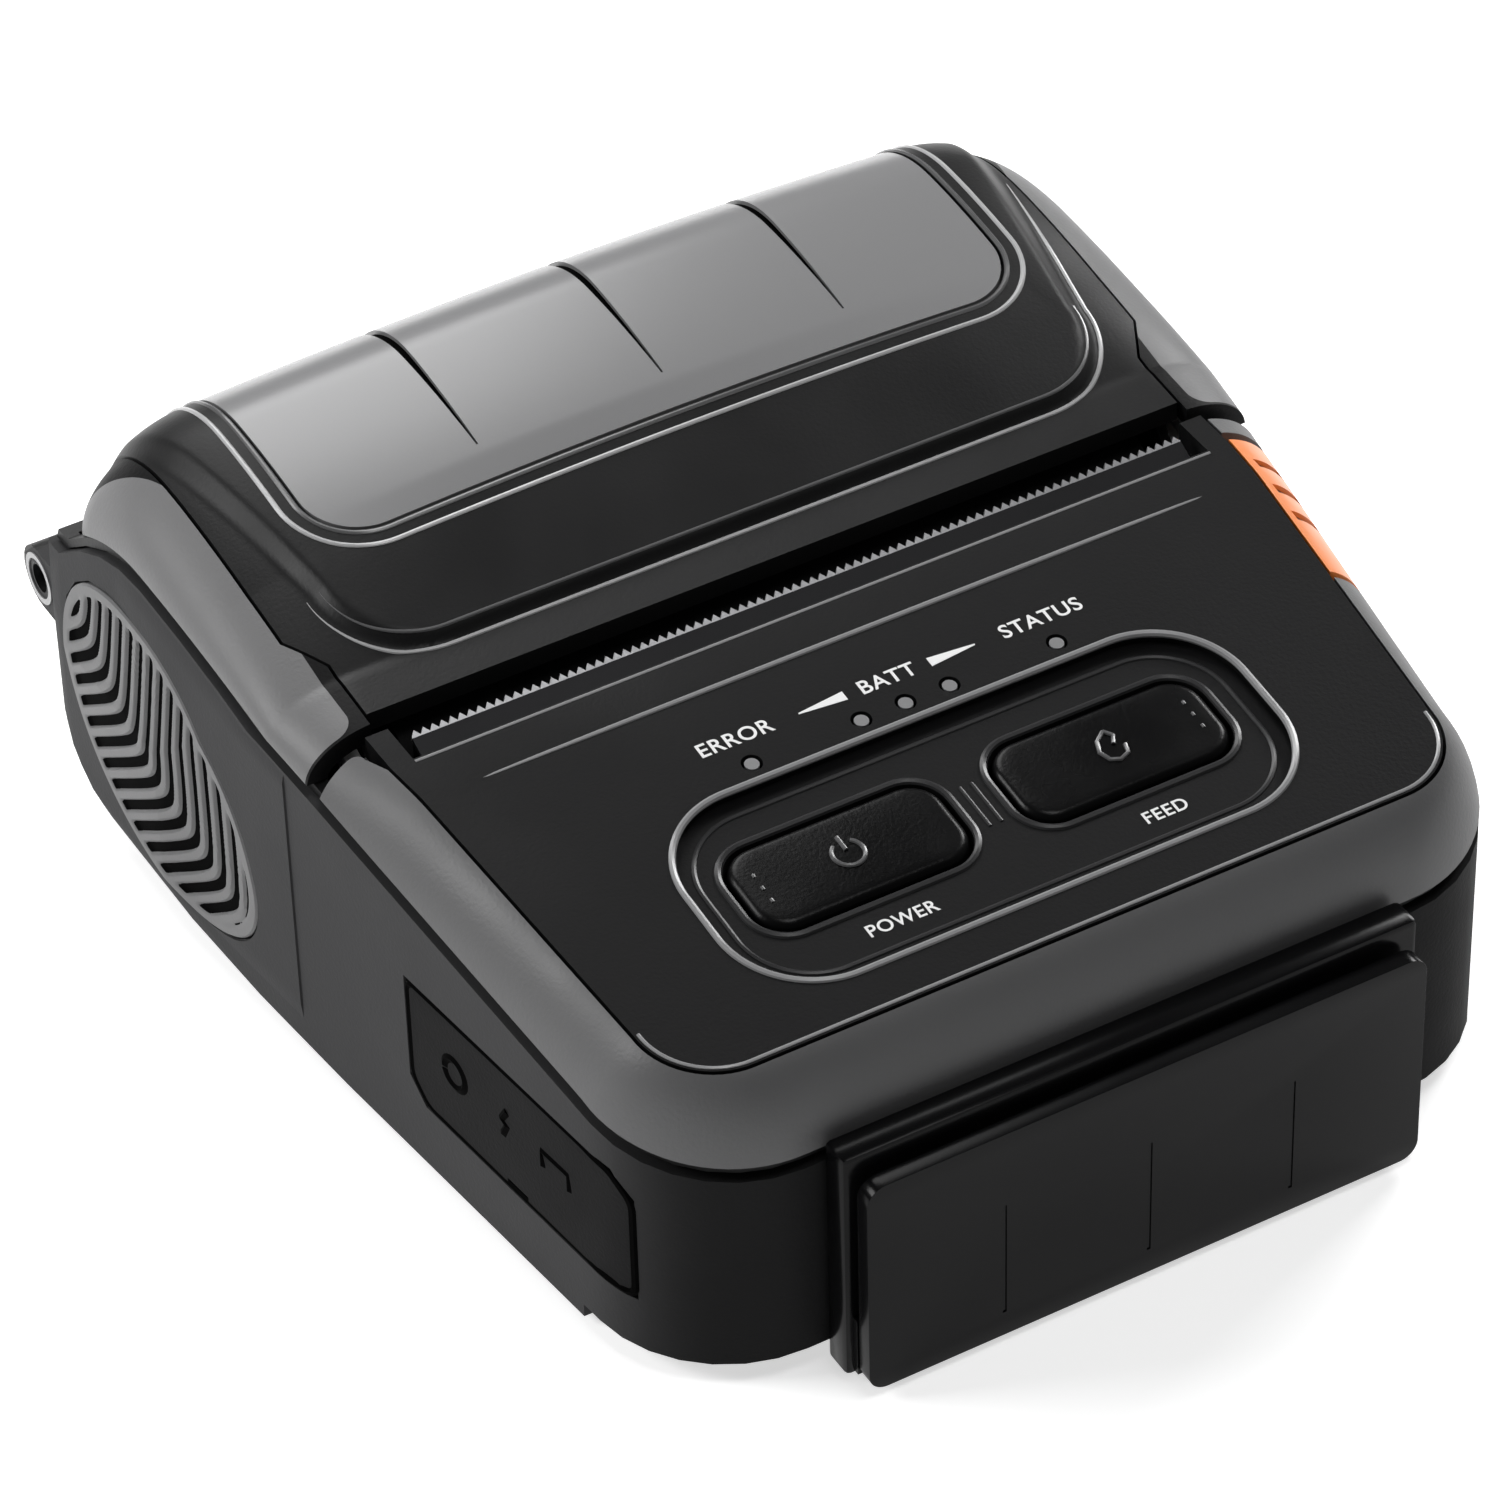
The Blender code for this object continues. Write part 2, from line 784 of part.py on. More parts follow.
def laid_on_panel(obj):
    """Lift a piece that was made about height zero onto the panel's slope."""
    shape = bmesh.new()
    shape.from_mesh(obj.data)
    bmesh.ops.bisect_plane(shape, geom=shape.verts[:] + shape.edges[:] + shape.faces[:],
                           plane_co=(0, tear_y - panel_crease, 0), plane_no=(0, 1, 0))
    bmesh.ops.triangulate(shape, faces=shape.faces[:])
    for vertex in shape.verts:
        vertex.co.z += panel_height(vertex.co.y)
    shape.to_mesh(obj.data)
    shape.free()
    return obj


def panel_plan(grow):
    """Outline of the control panel from above, with ears beside the paper slot."""
    front = tear_y - panel_front - grow
    radius = panel_corner_radius + grow
    corner = (panel_front_half_width + grow - radius, front + radius)
    rear_half = panel_rear_half_width + grow
    right = [(0, front)] + arc(corner, radius, -quarter, 0, 5)
    right += [(rear_half, tear_y - panel_slot_front), (rear_half, tear_y + panel_ear_end),
              (slot_mouth_half_length, tear_y + panel_ear_end),
              (slot_mouth_half_length, tear_y - panel_slot_front),
              (0, tear_y - panel_slot_front)]
    return mirrored(right)


def led_places():
    return [-led_outer_offset, -led_inner_offset, 0, led_inner_offset, led_outer_offset]


def button_outline(side, grow):
    return rounded_box((side * button_offset, tear_y - button_distance), button_half_length + grow,
                       button_half_width + grow, button_corner_radius + grow)


def control_panel():
    panel = laid_on_panel(prism("control_panel", panel_plan(0), "Z", -panel_thickness, 0,
                                black_plastic))
    recess = rounded_box((0, tear_y - recess_distance), recess_half_length, recess_half_width,
                         recess_corner_radius, 6)
    cut(panel, laid_on_panel(prism("recess", recess, "Z", -recess_depth, cut_overrun)))
    for side in (-1, 1):
        hole = prism("button_hole", button_outline(side, fit_gap), "Z", -cut_overrun, cut_overrun)
        cut(panel, laid_on_panel(hole))
    for x in led_places():
        cut(panel, laid_on_panel(rod("led_hole", led_radius + seat_gap, "Z", -cut_overrun,
                                     cut_overrun, (x, tear_y - led_distance),
                                     steps=small_steps)))
    for side in (-1, 1):
        for distance in (post_front, post_rear):
            post = rod("post", post_radius, "Z", -switch_board_depth + seat_gap,
                       -panel_thickness / 2, (side * post_offset, tear_y - distance),
                       steps=small_steps)
            join(panel, laid_on_panel(post))
    return panel


def buttons():
    """Power and feed buttons, each over its own switch."""
    for side, name in ((-1, "power"), (1, "feed")):
        low = -button_sink - button_height
        key = prism(name + "_button", button_outline(side, 0), "Z", low, -button_sink, dark_rubber)
        soften(laid_on_panel(key), button_edge)
        x, y = side * button_offset, tear_y - button_distance
        pad = box(name + "_switch",
                  (x - switch_half_width, y - switch_half_width, -switch_board_depth + shaft_gap),
                  (x + switch_half_width, y + switch_half_width, low - button_travel - seat_gap),
                  white_plastic)
        laid_on_panel(pad)


def light_guide():
    """One clear moulding: a bar behind the panel with a post up to each lamp's hole."""
    y = tear_y - led_distance
    reach = led_outer_offset + guide_bar_half_width
    top = -panel_thickness - seat_gap
    bar = box("light_guide", (-reach, y - guide_bar_half_width, top - guide_bar_height),
              (reach, y + guide_bar_half_width, top), clear_guide)
    laid_on_panel(bar)
    for x in led_places():
        post = rod("guide_post", led_radius, "Z", top - guide_bar_height / 2, -led_sink, (x, y),
                   steps=small_steps)
        join(bar, laid_on_panel(post))
    return bar


def switch_board():
    low = -switch_board_depth - switch_board_thickness
    board = box("switch_board", (-switch_board_half_length, tear_y - switch_board_front, low),
                (switch_board_half_length, tear_y - switch_board_rear, -switch_board_depth),
                board_green)
    return laid_on_panel(board)


def bezel_path(side_steps=6):
    """Pairs of points of the bezel: outer ones over the case, inner ones round the panel."""
    outer_corner = (front_half_width - front_corner_radius, front_y + front_corner_radius)
    radius = panel_corner_radius + seat_gap / 2
    inner_front = tear_y - panel_front - seat_gap / 2
    inner_corner = (panel_front_half_width + seat_gap / 2 - radius, inner_front + radius)
    outer = arc(outer_corner, front_corner_radius, -quarter, -math.atan(taper), corner_steps)
    inner = arc(inner_corner, radius, -quarter, 0, corner_steps)
    end = tear_y + bezel_rear_end
    outer_start, inner_start = outer[-1], inner[-1]
    slot = tear_y - panel_slot_front
    wide = panel_rear_half_width + seat_gap / 2
    for i in range(1, side_steps + 1):
        share = i / side_steps
        y = outer_start[1] + (end - outer_start[1]) * share
        outer.append((half_width(y), y))
        y = inner_start[1] + (end - inner_start[1]) * share
        part = min(1, (y - inner_start[1]) / (slot - inner_start[1]))
        inner.append((inner_start[0] + (wide - inner_start[0]) * part, y))
    right = list(zip(outer, inner))
    left = [((-a[0], a[1]), (-b[0], b[1])) for a, b in right]
    return list(reversed(left)) + right


def shell_on_grid(name, columns, rows, spot, thickness, surface):
    """A shell whose outside is a grid of spots, given by column and row."""
    shape = bmesh.new()
    bmesh.ops.create_grid(shape, x_segments=columns - 1, y_segments=rows - 1, size=1)
    for vertex in shape.verts:
        column = round((vertex.co.x + 1) / 2 * (columns - 1))
        row = round((vertex.co.y + 1) / 2 * (rows - 1))
        vertex.co = spot(column, row)
    bmesh.ops.recalc_face_normals(shape, faces=shape.faces)
    shape.normal_update()
    highest = max(shape.faces, key=lambda face: face.calc_center_median().z)
    if highest.normal.z < 0:
        bmesh.ops.reverse_faces(shape, faces=shape.faces)
    obj = from_bmesh(name, shape, surface)
    wall = obj.modifiers.new("wall", "SOLIDIFY")
    wall.thickness = thickness
    wall.offset = -1
    wall.use_even_offset = True
    return frozen(obj)


def bezel_band(name, surface=None):
    """The band between the seam and the panel, a little fuller than a flat slope."""
    path = bezel_path()
    rows = 5

    def spot(column, row):
        share = row / (rows - 1)
        outer, inner = path[column]
        low, high = seam(outer[1]) - seat_gap, panel_height(inner[1])
        inward = share + (1 - math.cos(share * quarter) - share) * bezel_fullness
        upward = share + (math.sin(share * quarter) - share) * bezel_fullness
        return (outer[0] + (inner[0] - outer[0]) * inward,
                outer[1] + (inner[1] - outer[1]) * inward,
                low + (high - low) * upward)

    band = shell_on_grid(name, len(path), rows, spot, bezel_thickness, surface)
    cut(band, prism("panel_room", panel_plan(seat_gap), "Z", -cut_overrun, tall))
    return above_seam(band)


def above_seam(obj):
    """Trim a piece level with the seam."""
    front, rear = front_y - cut_overrun, rear_y + cut_overrun
    line = [(y, seam(y)) for y in seam_places(front, rear)]
    return common(obj, prism("seam_trim", line + [(rear, tall), (front, tall)], "X", -tall, tall))


def bezel():
    """Grey frame of the panel, and the small corner of it behind the release lever."""
    band = bezel_band("bezel", grey_plastic)
    cut(band, box("lever_room", (0, tear_y - lever_front - lever_gap, 0),
                  (tall, tear_y + cut_overrun, tall)))
    corner = bezel_band("bezel_corner", grey_plastic)
    common(corner, box("corner_span", (0, tear_y - bezel_corner_front, 0),
                       (tall, tear_y + cut_overrun, tall)))


def lever_pivot():
    """Pivot of the release lever, under its front end, as (y, z)."""
    y = tear_y - lever_front + lever_pivot_setback
    return y, seam(y) + lever_pivot_lift


def lever_boss_span():
    """Ends of the lever's boss along X."""
    outer = half_width(lever_pivot()[0]) - lever_boss_inset + lever_boss_length
    return outer - lever_boss_length, outer


def release_lever():
    """Orange thumb lever that fills the end of the bezel's right arm."""
    lever = bezel_band("release_lever", orange_plastic)
    common(lever, box("lever_span", (0, tear_y - lever_front, 0), (tall, tear_y - lever_rear, tall)))
    for i in range(lever_rib_count):
        y = tear_y - lever_rib_first - lever_rib_spacing * i
        cut(lever, box("lever_rib", (half_width(y) - lever_rib_depth, y - lever_rib_width / 2,
                                     seam(y) + lever_rib_lift),
                       (tall, y + lever_rib_width / 2, tall)))
    pivot = lever_pivot()
    low, high = lever_boss_span()
    join(lever, rod("lever_boss", lever_boss_radius, "X", low, high, pivot, steps=small_steps))
    cut(lever, rod("lever_bore", lever_pin_bore, "X", low - lug_width, high - seat_gap, pivot,
                   steps=small_steps))
    rod("lever_pin", lever_pin_radius, "X", low - lug_width - 2 * seat_gap, high - 2 * seat_gap,
        pivot, steel, small_steps)
    return set_origin(lever, (0, *pivot))


def add_lever_lug(case):
    """Lug inside the right wall that carries the lever's pin."""
    pivot = lever_pivot()
    boss_low, _ = lever_boss_span()
    high = boss_low - seat_gap
    low = high - lug_width
    wall = half_width(pivot[0]) - case_wall / 2
    rim = seam(pivot[0]) - seam_gap
    foot = box("lug_foot", (low, pivot[0] - lug_half_length, rim - lug_foot_drop),
               (wall, pivot[0] + lug_half_length, rim - seat_gap))
    join(foot, box("lug_arm", (low, pivot[0] - lug_half_length, rim - lug_foot_drop / 2),
                   (high, pivot[0] + lug_half_length, pivot[1] + lug_rise)))
    join(case, foot)
    return cut(case, rod("lug_bore", lever_pin_bore, "X", low - seat_gap, high + seat_gap, pivot,
                         steps=small_steps))


def lid_slope(y):
    """Height of the lid in front of its crest, and its share of the crown."""
    distance = y - tear_y
    step_end = lid_step_distance + lid_step_run
    front_top = lid_front_height + lid_front_rise
    if distance <= lid_step_distance:
        share = (distance - lid_front) / (lid_step_distance - lid_front)
        return lid_front_height + lid_front_rise * share, 0
    if distance < step_end:
        return front_top + lid_step_rise * (distance - lid_step_distance) / lid_step_run, 0
    share = min(1, (distance - step_end) / (lid_crest_distance - step_end))
    start = front_top + lid_step_rise
    height = start + (lid_crest_height - start) * (1 - (1 - share) ** lid_curve_power)
    return height, min(1, share * 2)


def lid_stations(front, rear_angle, inset=0, set_back=0):
    """Stations (y, height, crown) from a front place to an angle round the rear arc."""
    step = tear_y + lid_step_distance
    places = [front]
    if front < step:
        places += [step, step + lid_step_run]
    last = places[-1]
    places += [last + (crest_y - last) * i / lid_rows for i in range(1, lid_rows + 1)]
    stations = []
    for y in places:
        height, crowning = lid_slope(y)
        stations.append((y + set_back, height - inset, crowning))
    radius = lid_rear_radius - inset
    for i in range(1, lid_rows + 1):
        angle = rear_angle * i / lid_rows
        height = lid_crest_height - lid_rear_radius + radius * math.cos(angle)
        stations.append((crest_y + radius * math.sin(angle), height, max(0, math.cos(angle))))
    return stations


def lid_seam_half_width(y):
    """Half width of the lid at the seam, with its round rear corners."""
    wide = min(half_width(y), shoulder_half_width)
    corner = crest_y + lid_rear_radius - lid_plan_corner_radius
    if y > corner:
        reach = max(0, lid_plan_corner_radius ** 2 - (y - corner) ** 2)
        wide -= lid_plan_corner_radius - math.sqrt(reach)
    return wide


def lid_flat(y):
    """Half width of the lid's top, where its shoulder starts."""
    share = (y - tear_y - lid_front) / (window_front - lid_front)
    share = min(1, max(0, share))
    return lid_front_flat_half_width + (lid_flat_half_width - lid_front_flat_half_width) * share


def shoulder_end(y, inset):
    return max(lid_seam_half_width(y), lid_flat(y) + lid_thickness) - inset


def strip_edge(y):
    """Place along X where the black cover ends and the grey strip starts."""
    share = (y - tear_y - strip_turn_start) / (strip_turn_end - strip_turn_start)
    edge = strip_edge_front + (strip_edge_rear - strip_edge_front) * min(1, max(0, share))
    return min(edge, lid_seam_half_width(y) - lid_thickness)


def lid_spot(station, reach, inset):
    """A point of the lid; reach is 0 to 1 over its top and 1 to 2 round its shoulder."""
    y, top, crowning = station
    flat, wide = lid_flat(y), shoulder_end(y, inset)
    side = -1 if reach < 0 else 1
    reach = abs(reach)
    if reach <= 1:
        return side * reach * flat, y, top + lid_crown * crowning * (1 - reach ** 2)
    low = min(seam(y), top) - seat_gap
    angle = (reach - 1) * quarter
    return (side * (flat + (wide - flat) * math.sin(angle)), y,
            low + (top - low) * math.cos(angle))


def reach_at(y, x, inset):
    """Reach of the lid's section at a place along X."""
    flat, wide = lid_flat(y), shoulder_end(y, inset)
    if x <= flat:
        return x / flat
    return 1 + math.asin(min(1, (x - flat) / (wide - flat))) / quarter


def lid_patch(name, stations, ends, columns, inset, thickness, surface=None):
    """A shell over part of the lid; ends gives the two reaches between which it lies, by y."""

    def spot(column, row):
        start, end = ends(stations[row][0])
        reach = start + (end - start) * column / (columns - 1)
        return lid_spot(stations[row], reach, inset)

    return shell_on_grid(name, columns, len(stations), spot, thickness, surface)


def strip_room(name, side, grow):
    """The room outwards of the line between the cover and one grey strip."""
    turns = (0, strip_turn_start, strip_turn_end)
    places = [tear_y + distance for distance in turns]
    places += [y for y, _, _ in lid_stations(tear_y + window_front, quarter)]
    line = [(side * (strip_edge(y) + grow), y) for y in places]
    line += [(line[-1][0], rear_y + tall), (side * tall, rear_y + tall), (side * tall, places[0])]
    return prism(name, line, "Z", -cut_overrun, tall)


def lid_cover():
    """Black hood of the lid, with the leaf and barrel of its hinge behind."""

    def ends(y):
        edge = reach_at(y, strip_edge(y) + lid_thickness, 0)
        return -edge, edge

    stations = lid_stations(tear_y + lid_front, lid_rear_angle)
    cover = above_seam(lid_patch("lid_cover", stations, ends, 13, 0, lid_thickness, black_plastic))
    for side in (-1, 1):
        cut(cover, strip_room("strip_line", side, 0))
    seat = window_patch("window_seat", window_front, seat_gap, -window_seat_depth,
                        2 * window_seat_depth)
    common(seat, prism("seat_outline", window_plan(seat_gap), "Z", -tall, tall))
    cut(cover, seat)
    lap = lid_crest_height - lid_rear_radius
    rear = crest_y + lid_rear_radius
    bridge = seam_rear_height + seat_gap
    inside = rear - lid_thickness * 3 / 4
    inner = [(inside, bridge), (rear + leaf_gap, bridge),
             (rear_y + leaf_gap, case_bottom + under_radius), (hinge_y, hinge_height)]
    outer = [(hinge_y + leaf_thickness / 2, hinge_height + leaf_thickness),
             (rear + leaf_gap + leaf_thickness, bridge + leaf_thickness / 2),
             (rear, lap + leaf_thickness), (inside, lap + leaf_thickness)]
    leaf = prism("lid_leaf", inner + outer, "X", -hinge_lid_half_length, hinge_lid_half_length)
    join(leaf, rod("lid_barrel", hinge_barrel_radius, "X", -hinge_lid_half_length,
                   hinge_lid_half_length, (hinge_y, hinge_height)))
    join(cover, leaf)
    reach = hinge_lid_half_length + cut_overrun
    cut(cover, rod("lid_bore", hinge_bore_radius, "X", -reach, reach, (hinge_y, hinge_height),
                   steps=small_steps))
    return set_origin(cover, (0, hinge_y, hinge_height))


def window_patch(name, front, grow, inset, thickness, surface=None):
    """A shell over the window's part of the lid, from somewhat in front of it."""

    def ends(y):
        edge = reach_at(y, window_half_width + 2 * seat_gap, inset)
        return -edge, edge

    stations = lid_stations(tear_y + front - lid_front, window_rear_angle + grow / lid_rear_radius,
                            inset)
    return lid_patch(name, stations, ends, 11, inset, thickness, surface)


def window_plan(grow):
    """Outline of the window from above, with round front corners."""
    front = tear_y + window_front - grow
    half = window_half_width + grow
    radius = window_corner_radius + grow
    right = [(0, front)] + arc((half - radius, front + radius), radius, -quarter, 0, 5)
    right += [(half, rear_y + cut_overrun), (0, rear_y + cut_overrun)]
    return mirrored(right)


def lid_window():
    """Pale window over the paper, with three grooves down it."""
    window = window_patch("lid_window", window_front, 0, 0, window_thickness, window_plastic)
    common(window, prism("window_outline", window_plan(0), "Z", -tall, tall))
    for x in (-groove_spacing, 0, groove_spacing):
        groove = window_patch("groove", groove_front, seat_gap, -groove_depth, 2 * groove_depth)
        common(groove, box("groove_span", (x - groove_width / 2, tear_y + groove_front, 0),
                           (x + groove_width / 2, tear_y + tall, tall)))
        cut(window, groove)
    return window


def lid_strips():
    """Grey strips down the lid's two shoulders."""
    stations = lid_stations(tear_y + strip_front, lid_rear_angle)

    def right(y):
        return reach_at(y, strip_edge(y) - lid_thickness, 0), 2

    def left(y):
        return -2, -reach_at(y, strip_edge(y) - lid_thickness, 0)

    for side, name, ends in ((-1, "lid_strip_left", left), (1, "lid_strip_right", right)):
        strip = above_seam(lid_patch(name, stations, ends, 6, 0, lid_thickness, grey_plastic))
        common(strip, strip_room("strip_span", side, seat_gap))


def cheek_outline():
    """Outline of the ears that carry the platen's shaft under the lid, as (y, z)."""
    front, rear = tear_y + cheek_front, tear_y + cheek_rear
    step = tear_y + lid_step_distance + lid_step_rise
    tops = []
    for y in (rear, step + lid_step_run, step, tear_y + inner_front + lid_step_rise + seat_gap):
        top = lid_slope(y - lid_step_rise)[0] - inner_inset - inner_thickness / 2
        tops.append((y, top))
    return [(front, cheek_bottom), (rear, cheek_bottom)] + tops + [(front, cheek_brow)]


def lid_inner():
    """Inner shell of the lid, with an ear at each end for the platen's shaft."""

    def ends(y):
        edge = reach_at(y, inner_half_width, inner_inset)
        return -edge, edge

    stations = lid_stations(tear_y + inner_front, inner_rear_angle, inner_inset, lid_step_rise)
    inner = lid_patch("lid_inner", stations, ends, 9, inner_inset, inner_thickness, black_plastic)
    for side in (-1, 1):
        low, high = sorted((side * cheek_start, side * (cheek_start + cheek_thickness)))
        join(inner, prism("cheek", cheek_outline(), "X", low, high))
    reach = cheek_start + cut_overrun
    return cut(inner, rod("cheek_bore", platen_shaft_radius + seat_gap, "X", -reach, reach,
                          (platen_y, platen_height)))


def hinge_pin():
    reach = hinge_half_length - hinge_pin_recess
    rod("hinge_pin", hinge_pin_radius, "X", -reach, reach, (hinge_y, hinge_height), steel,
        small_steps)


def paper_bay():
    """Half-round trough for the paper roll, closed by a cheek at each end."""
    centre = (roll_y, roll_height)
    outer = bay_radius + bay_wall
    start, end = bay_front_angle, 4 * quarter + bay_rear_angle
    trough = arc(centre, outer, start, end, 16) + arc(centre, bay_radius, end, start, 16)
    bay = prism("paper_bay", trough, "X", -bay_half_length, bay_half_length, black_plastic)
    sector = arc(centre, outer, start, end, 16)
    for side in (-1, 1):
        low, high = sorted((side * bay_half_length, side * (bay_half_length + bay_cheek)))
        join(bay, prism("bay_cheek", sector, "X", low, high))
    return bay


def gear_places():
    """Centres of the platen's gear, the idler and the motor's pinion, as (y, z)."""
    platen = Vector((platen_y, platen_height))
    motor = Vector((motor_y, motor_height))
    first = gear_module * (platen_teeth + idler_teeth) / 2
    second = gear_module * (idler_teeth + pinion_teeth) / 2
    span = motor - platen
    along = (first ** 2 - second ** 2 + span.length_squared) / (2 * span.length)
    aside = math.sqrt(first ** 2 - along ** 2)
    way = span.normalized()
    return platen, platen + way * along + Vector((way.y, -way.x)) * aside, motor


def gear_phases():
    """Angle of one tooth of each gear, so that teeth stand in their mates' gaps."""
    platen, idler, motor = gear_places()
    to_idler = math.atan2(idler.y - platen.y, idler.x - platen.x)
    to_motor = math.atan2(motor.y - idler.y, motor.x - idler.x)
    idler_step, pinion_step = 4 * quarter / idler_teeth, 4 * quarter / pinion_teeth
    idler_phase = to_idler + 2 * quarter + idler_step / 2
    offset = (to_motor - idler_phase) % idler_step
    pinion_phase = to_motor + 2 * quarter + offset * idler_teeth / pinion_teeth + pinion_step / 2
    return to_idler, idler_phase, pinion_phase


def gear(name, centre, teeth, phase, surface):
    """A spur gear with straight-sided teeth."""
    pitch = gear_module * teeth / 2
    half = (math.pi * gear_module / 2 - gear_backlash) / 2
    root = (pitch - gear_dedendum, half + gear_dedendum * gear_flank_slope)
    tip = (pitch + gear_addendum, half - gear_addendum * gear_flank_slope)
    outline = []
    for i in range(teeth):
        middle = phase + i * 4 * quarter / teeth
        for (radius, reach), side in ((root, -1), (tip, -1), (tip, 1), (root, 1)):
            angle = middle + side * reach / radius
            outline.append((centre.x + radius * math.cos(angle),
                            centre.y + radius * math.sin(angle)))
    return prism(name, outline, "X", gear_start, gear_start + gear_thickness, surface)


def gear_train():
    """Gears from the motor to the platen, on the right of the frame."""
    first, idler, motor = gear_places()
    first_phase, idler_phase, pinion_phase = gear_phases()
    end = gear_start + gear_thickness
    wheels = (("platen_gear", first, platen_teeth, first_phase, platen_shaft_radius),
              ("idler_gear", idler, idler_teeth, idler_phase, stud_radius))
    for name, spot, teeth, phase, radius in wheels:
        wheel = gear(name, spot, teeth, phase, white_plastic)
        cut(wheel, rod(name + "_bore", radius + shaft_gap, "X", 0, end + cut_overrun, tuple(spot),
                       steps=small_steps))
    inner = frame_plate_start - seat_gap
    pinion = gear("motor_pinion", motor, pinion_teeth, pinion_phase, steel)
    join(pinion, rod("motor_shaft", motor_shaft_radius, "X", inner - motor_shaft_depth + seat_gap,
                     end + shaft_overhang, tuple(motor), steps=small_steps))
    body = rod("feed_motor", motor_radius, "X", inner - motor_length, inner, tuple(motor), steel)
    cut(body, rod("motor_socket", motor_shaft_radius + shaft_gap, "X", inner - motor_shaft_depth,
                  inner + cut_overrun, tuple(motor), steps=small_steps))


def platen():
    """Rubber roller on its steel shaft, with a bush at each end."""
    centre = (platen_y, platen_height)
    reach = platen_half_length + cut_overrun
    roller = rod("platen_roller", platen_radius, "X", -platen_half_length, platen_half_length,
                 centre, dark_rubber)
    cut(roller, rod("roller_bore", platen_shaft_radius + shaft_gap, "X", -reach, reach, centre))
    plate_end = frame_plate_start + frame_plate_thickness
    rod("platen_shaft", platen_shaft_radius, "X", -plate_end - bush_overhang - shaft_overhang,
        gear_start + gear_thickness + shaft_overhang, centre, steel)
    for side, name in ((-1, "platen_bush_left"), (1, "platen_bush_right")):
        low, high = sorted((side * (frame_plate_start - bush_overhang),
                            side * (plate_end + bush_overhang)))
        bush = rod(name, bush_radius, "X", low, high, centre, white_plastic)
        cut(bush, rod("bush_bore", platen_shaft_radius + shaft_gap, "X", low - cut_overrun,
                      high + cut_overrun, centre))


def plate_outline():
    """Side plate of the mechanism: a half-round seat for the bush, open upwards and behind."""
    front, rear = tear_y - frame_front, tear_y + frame_rear
    seat = bush_radius + seat_gap
    outline = [(front, frame_bottom), (rear, frame_bottom), (rear, platen_height)]
    outline += arc((platen_y, platen_height), seat, 0, -2 * quarter, 10)
    return outline + [(platen_y - seat, frame_top), (front, frame_top)]


def mechanism_frame():
    """Bent metal frame: a web across the printer, a plate at each end and the idler's stud."""
    front = tear_y - frame_front
    end = frame_plate_start + frame_plate_thickness
    frame = box("mechanism_frame", (-end, front, frame_bottom),
                (end, front + frame_plate_thickness, web_top), aluminium)
    _, idler, motor = gear_places()
    for side in (-1, 1):
        low, high = sorted((side * frame_plate_start, side * end))
        join(frame, prism("side_plate", plate_outline(), "X", low, high))
    cut(frame, rod("motor_bore", motor_shaft_radius + seat_gap, "X", frame_plate_start - seat_gap,
                   end + seat_gap, tuple(motor), steps=small_steps))
    reach = end + cut_overrun
    cut(frame, rod("latch_bore", latch_shaft_radius + seat_gap, "X", -reach, reach,
                   (latch_y, latch_height), steps=small_steps))
    return join(frame, rod("idler_stud", stud_radius, "X", frame_plate_start + seat_gap,
                           gear_start + gear_thickness + shaft_overhang, tuple(idler),
                           steps=small_steps))


def latch():
    """Shaft across the frame with a hook at each end, over the platen's shaft."""
    reach = frame_plate_start + frame_plate_thickness - shaft_gap
    pivot, centre = (latch_y, latch_height), (platen_y, platen_height)
    rod("latch_shaft", latch_shaft_radius, "X", -reach, reach, pivot, steel, small_steps)
    near = platen_shaft_radius + seat_gap
    far = near + latch_nose_thickness
    outline = arc(pivot, latch_boss_radius, -2 * quarter, 0, 8)
    outline += arc(centre, near, latch_nose_start_angle, latch_nose_end_angle, 10)
    outline += arc(centre, far, latch_nose_end_angle, 2 * quarter, 6)
    for side, name in ((-1, "latch_hook_left"), (1, "latch_hook_right")):
        low, high = sorted((side * latch_plate_start,
                            side * (latch_plate_start + latch_plate_thickness)))
        hook = prism(name, outline, "X", low, high, steel)
        cut(hook, rod("hook_bore", latch_shaft_radius + shaft_gap, "X", low - cut_overrun,
                      high + cut_overrun, pivot, steps=small_steps))


def print_head():
    """Ceramic head against the platen, its heat sink, and two springs that press them."""
    rear = platen_y - platen_radius - head_gap
    front = rear - head_thickness
    box("print_head", (-head_half_length, front, head_bottom), (head_half_length, rear, head_top),
        gloss_black)
    sink_rear = front - seat_gap
    sink_front = sink_rear - sink_thickness
    box("heat_sink", (-head_half_length, sink_front, sink_bottom),
        (head_half_length, sink_rear, head_top - seat_gap), aluminium)
    start = tear_y - frame_front + frame_plate_thickness + seat_gap + spring_wire_radius
    end = sink_front - seat_gap - spring_wire_radius
    for side, name in ((-1, "head_spring_left"), (1, "head_spring_right")):
        coil(name, side * spring_offset, start, end)


def coil(name, x, start, end):
    """A coil spring along Y."""
    curve = bpy.data.curves.new(name, "CURVE")
    curve.dimensions = "3D"
    curve.bevel_depth = spring_wire_radius
    curve.bevel_resolution = 1
    curve.use_fill_caps = True
    per_turn = 10
    count = spring_turns * per_turn
    spline = curve.splines.new("POLY")
    spline.points.add(count)
    for i, point in enumerate(spline.points):
        angle = i * 4 * quarter / per_turn
        point.co = (x + spring_radius * math.cos(angle), start + (end - start) * i / count,
                    platen_height + spring_radius * math.sin(angle), 1)
    return from_bmesh(name, shape_of(name, curve), steel)


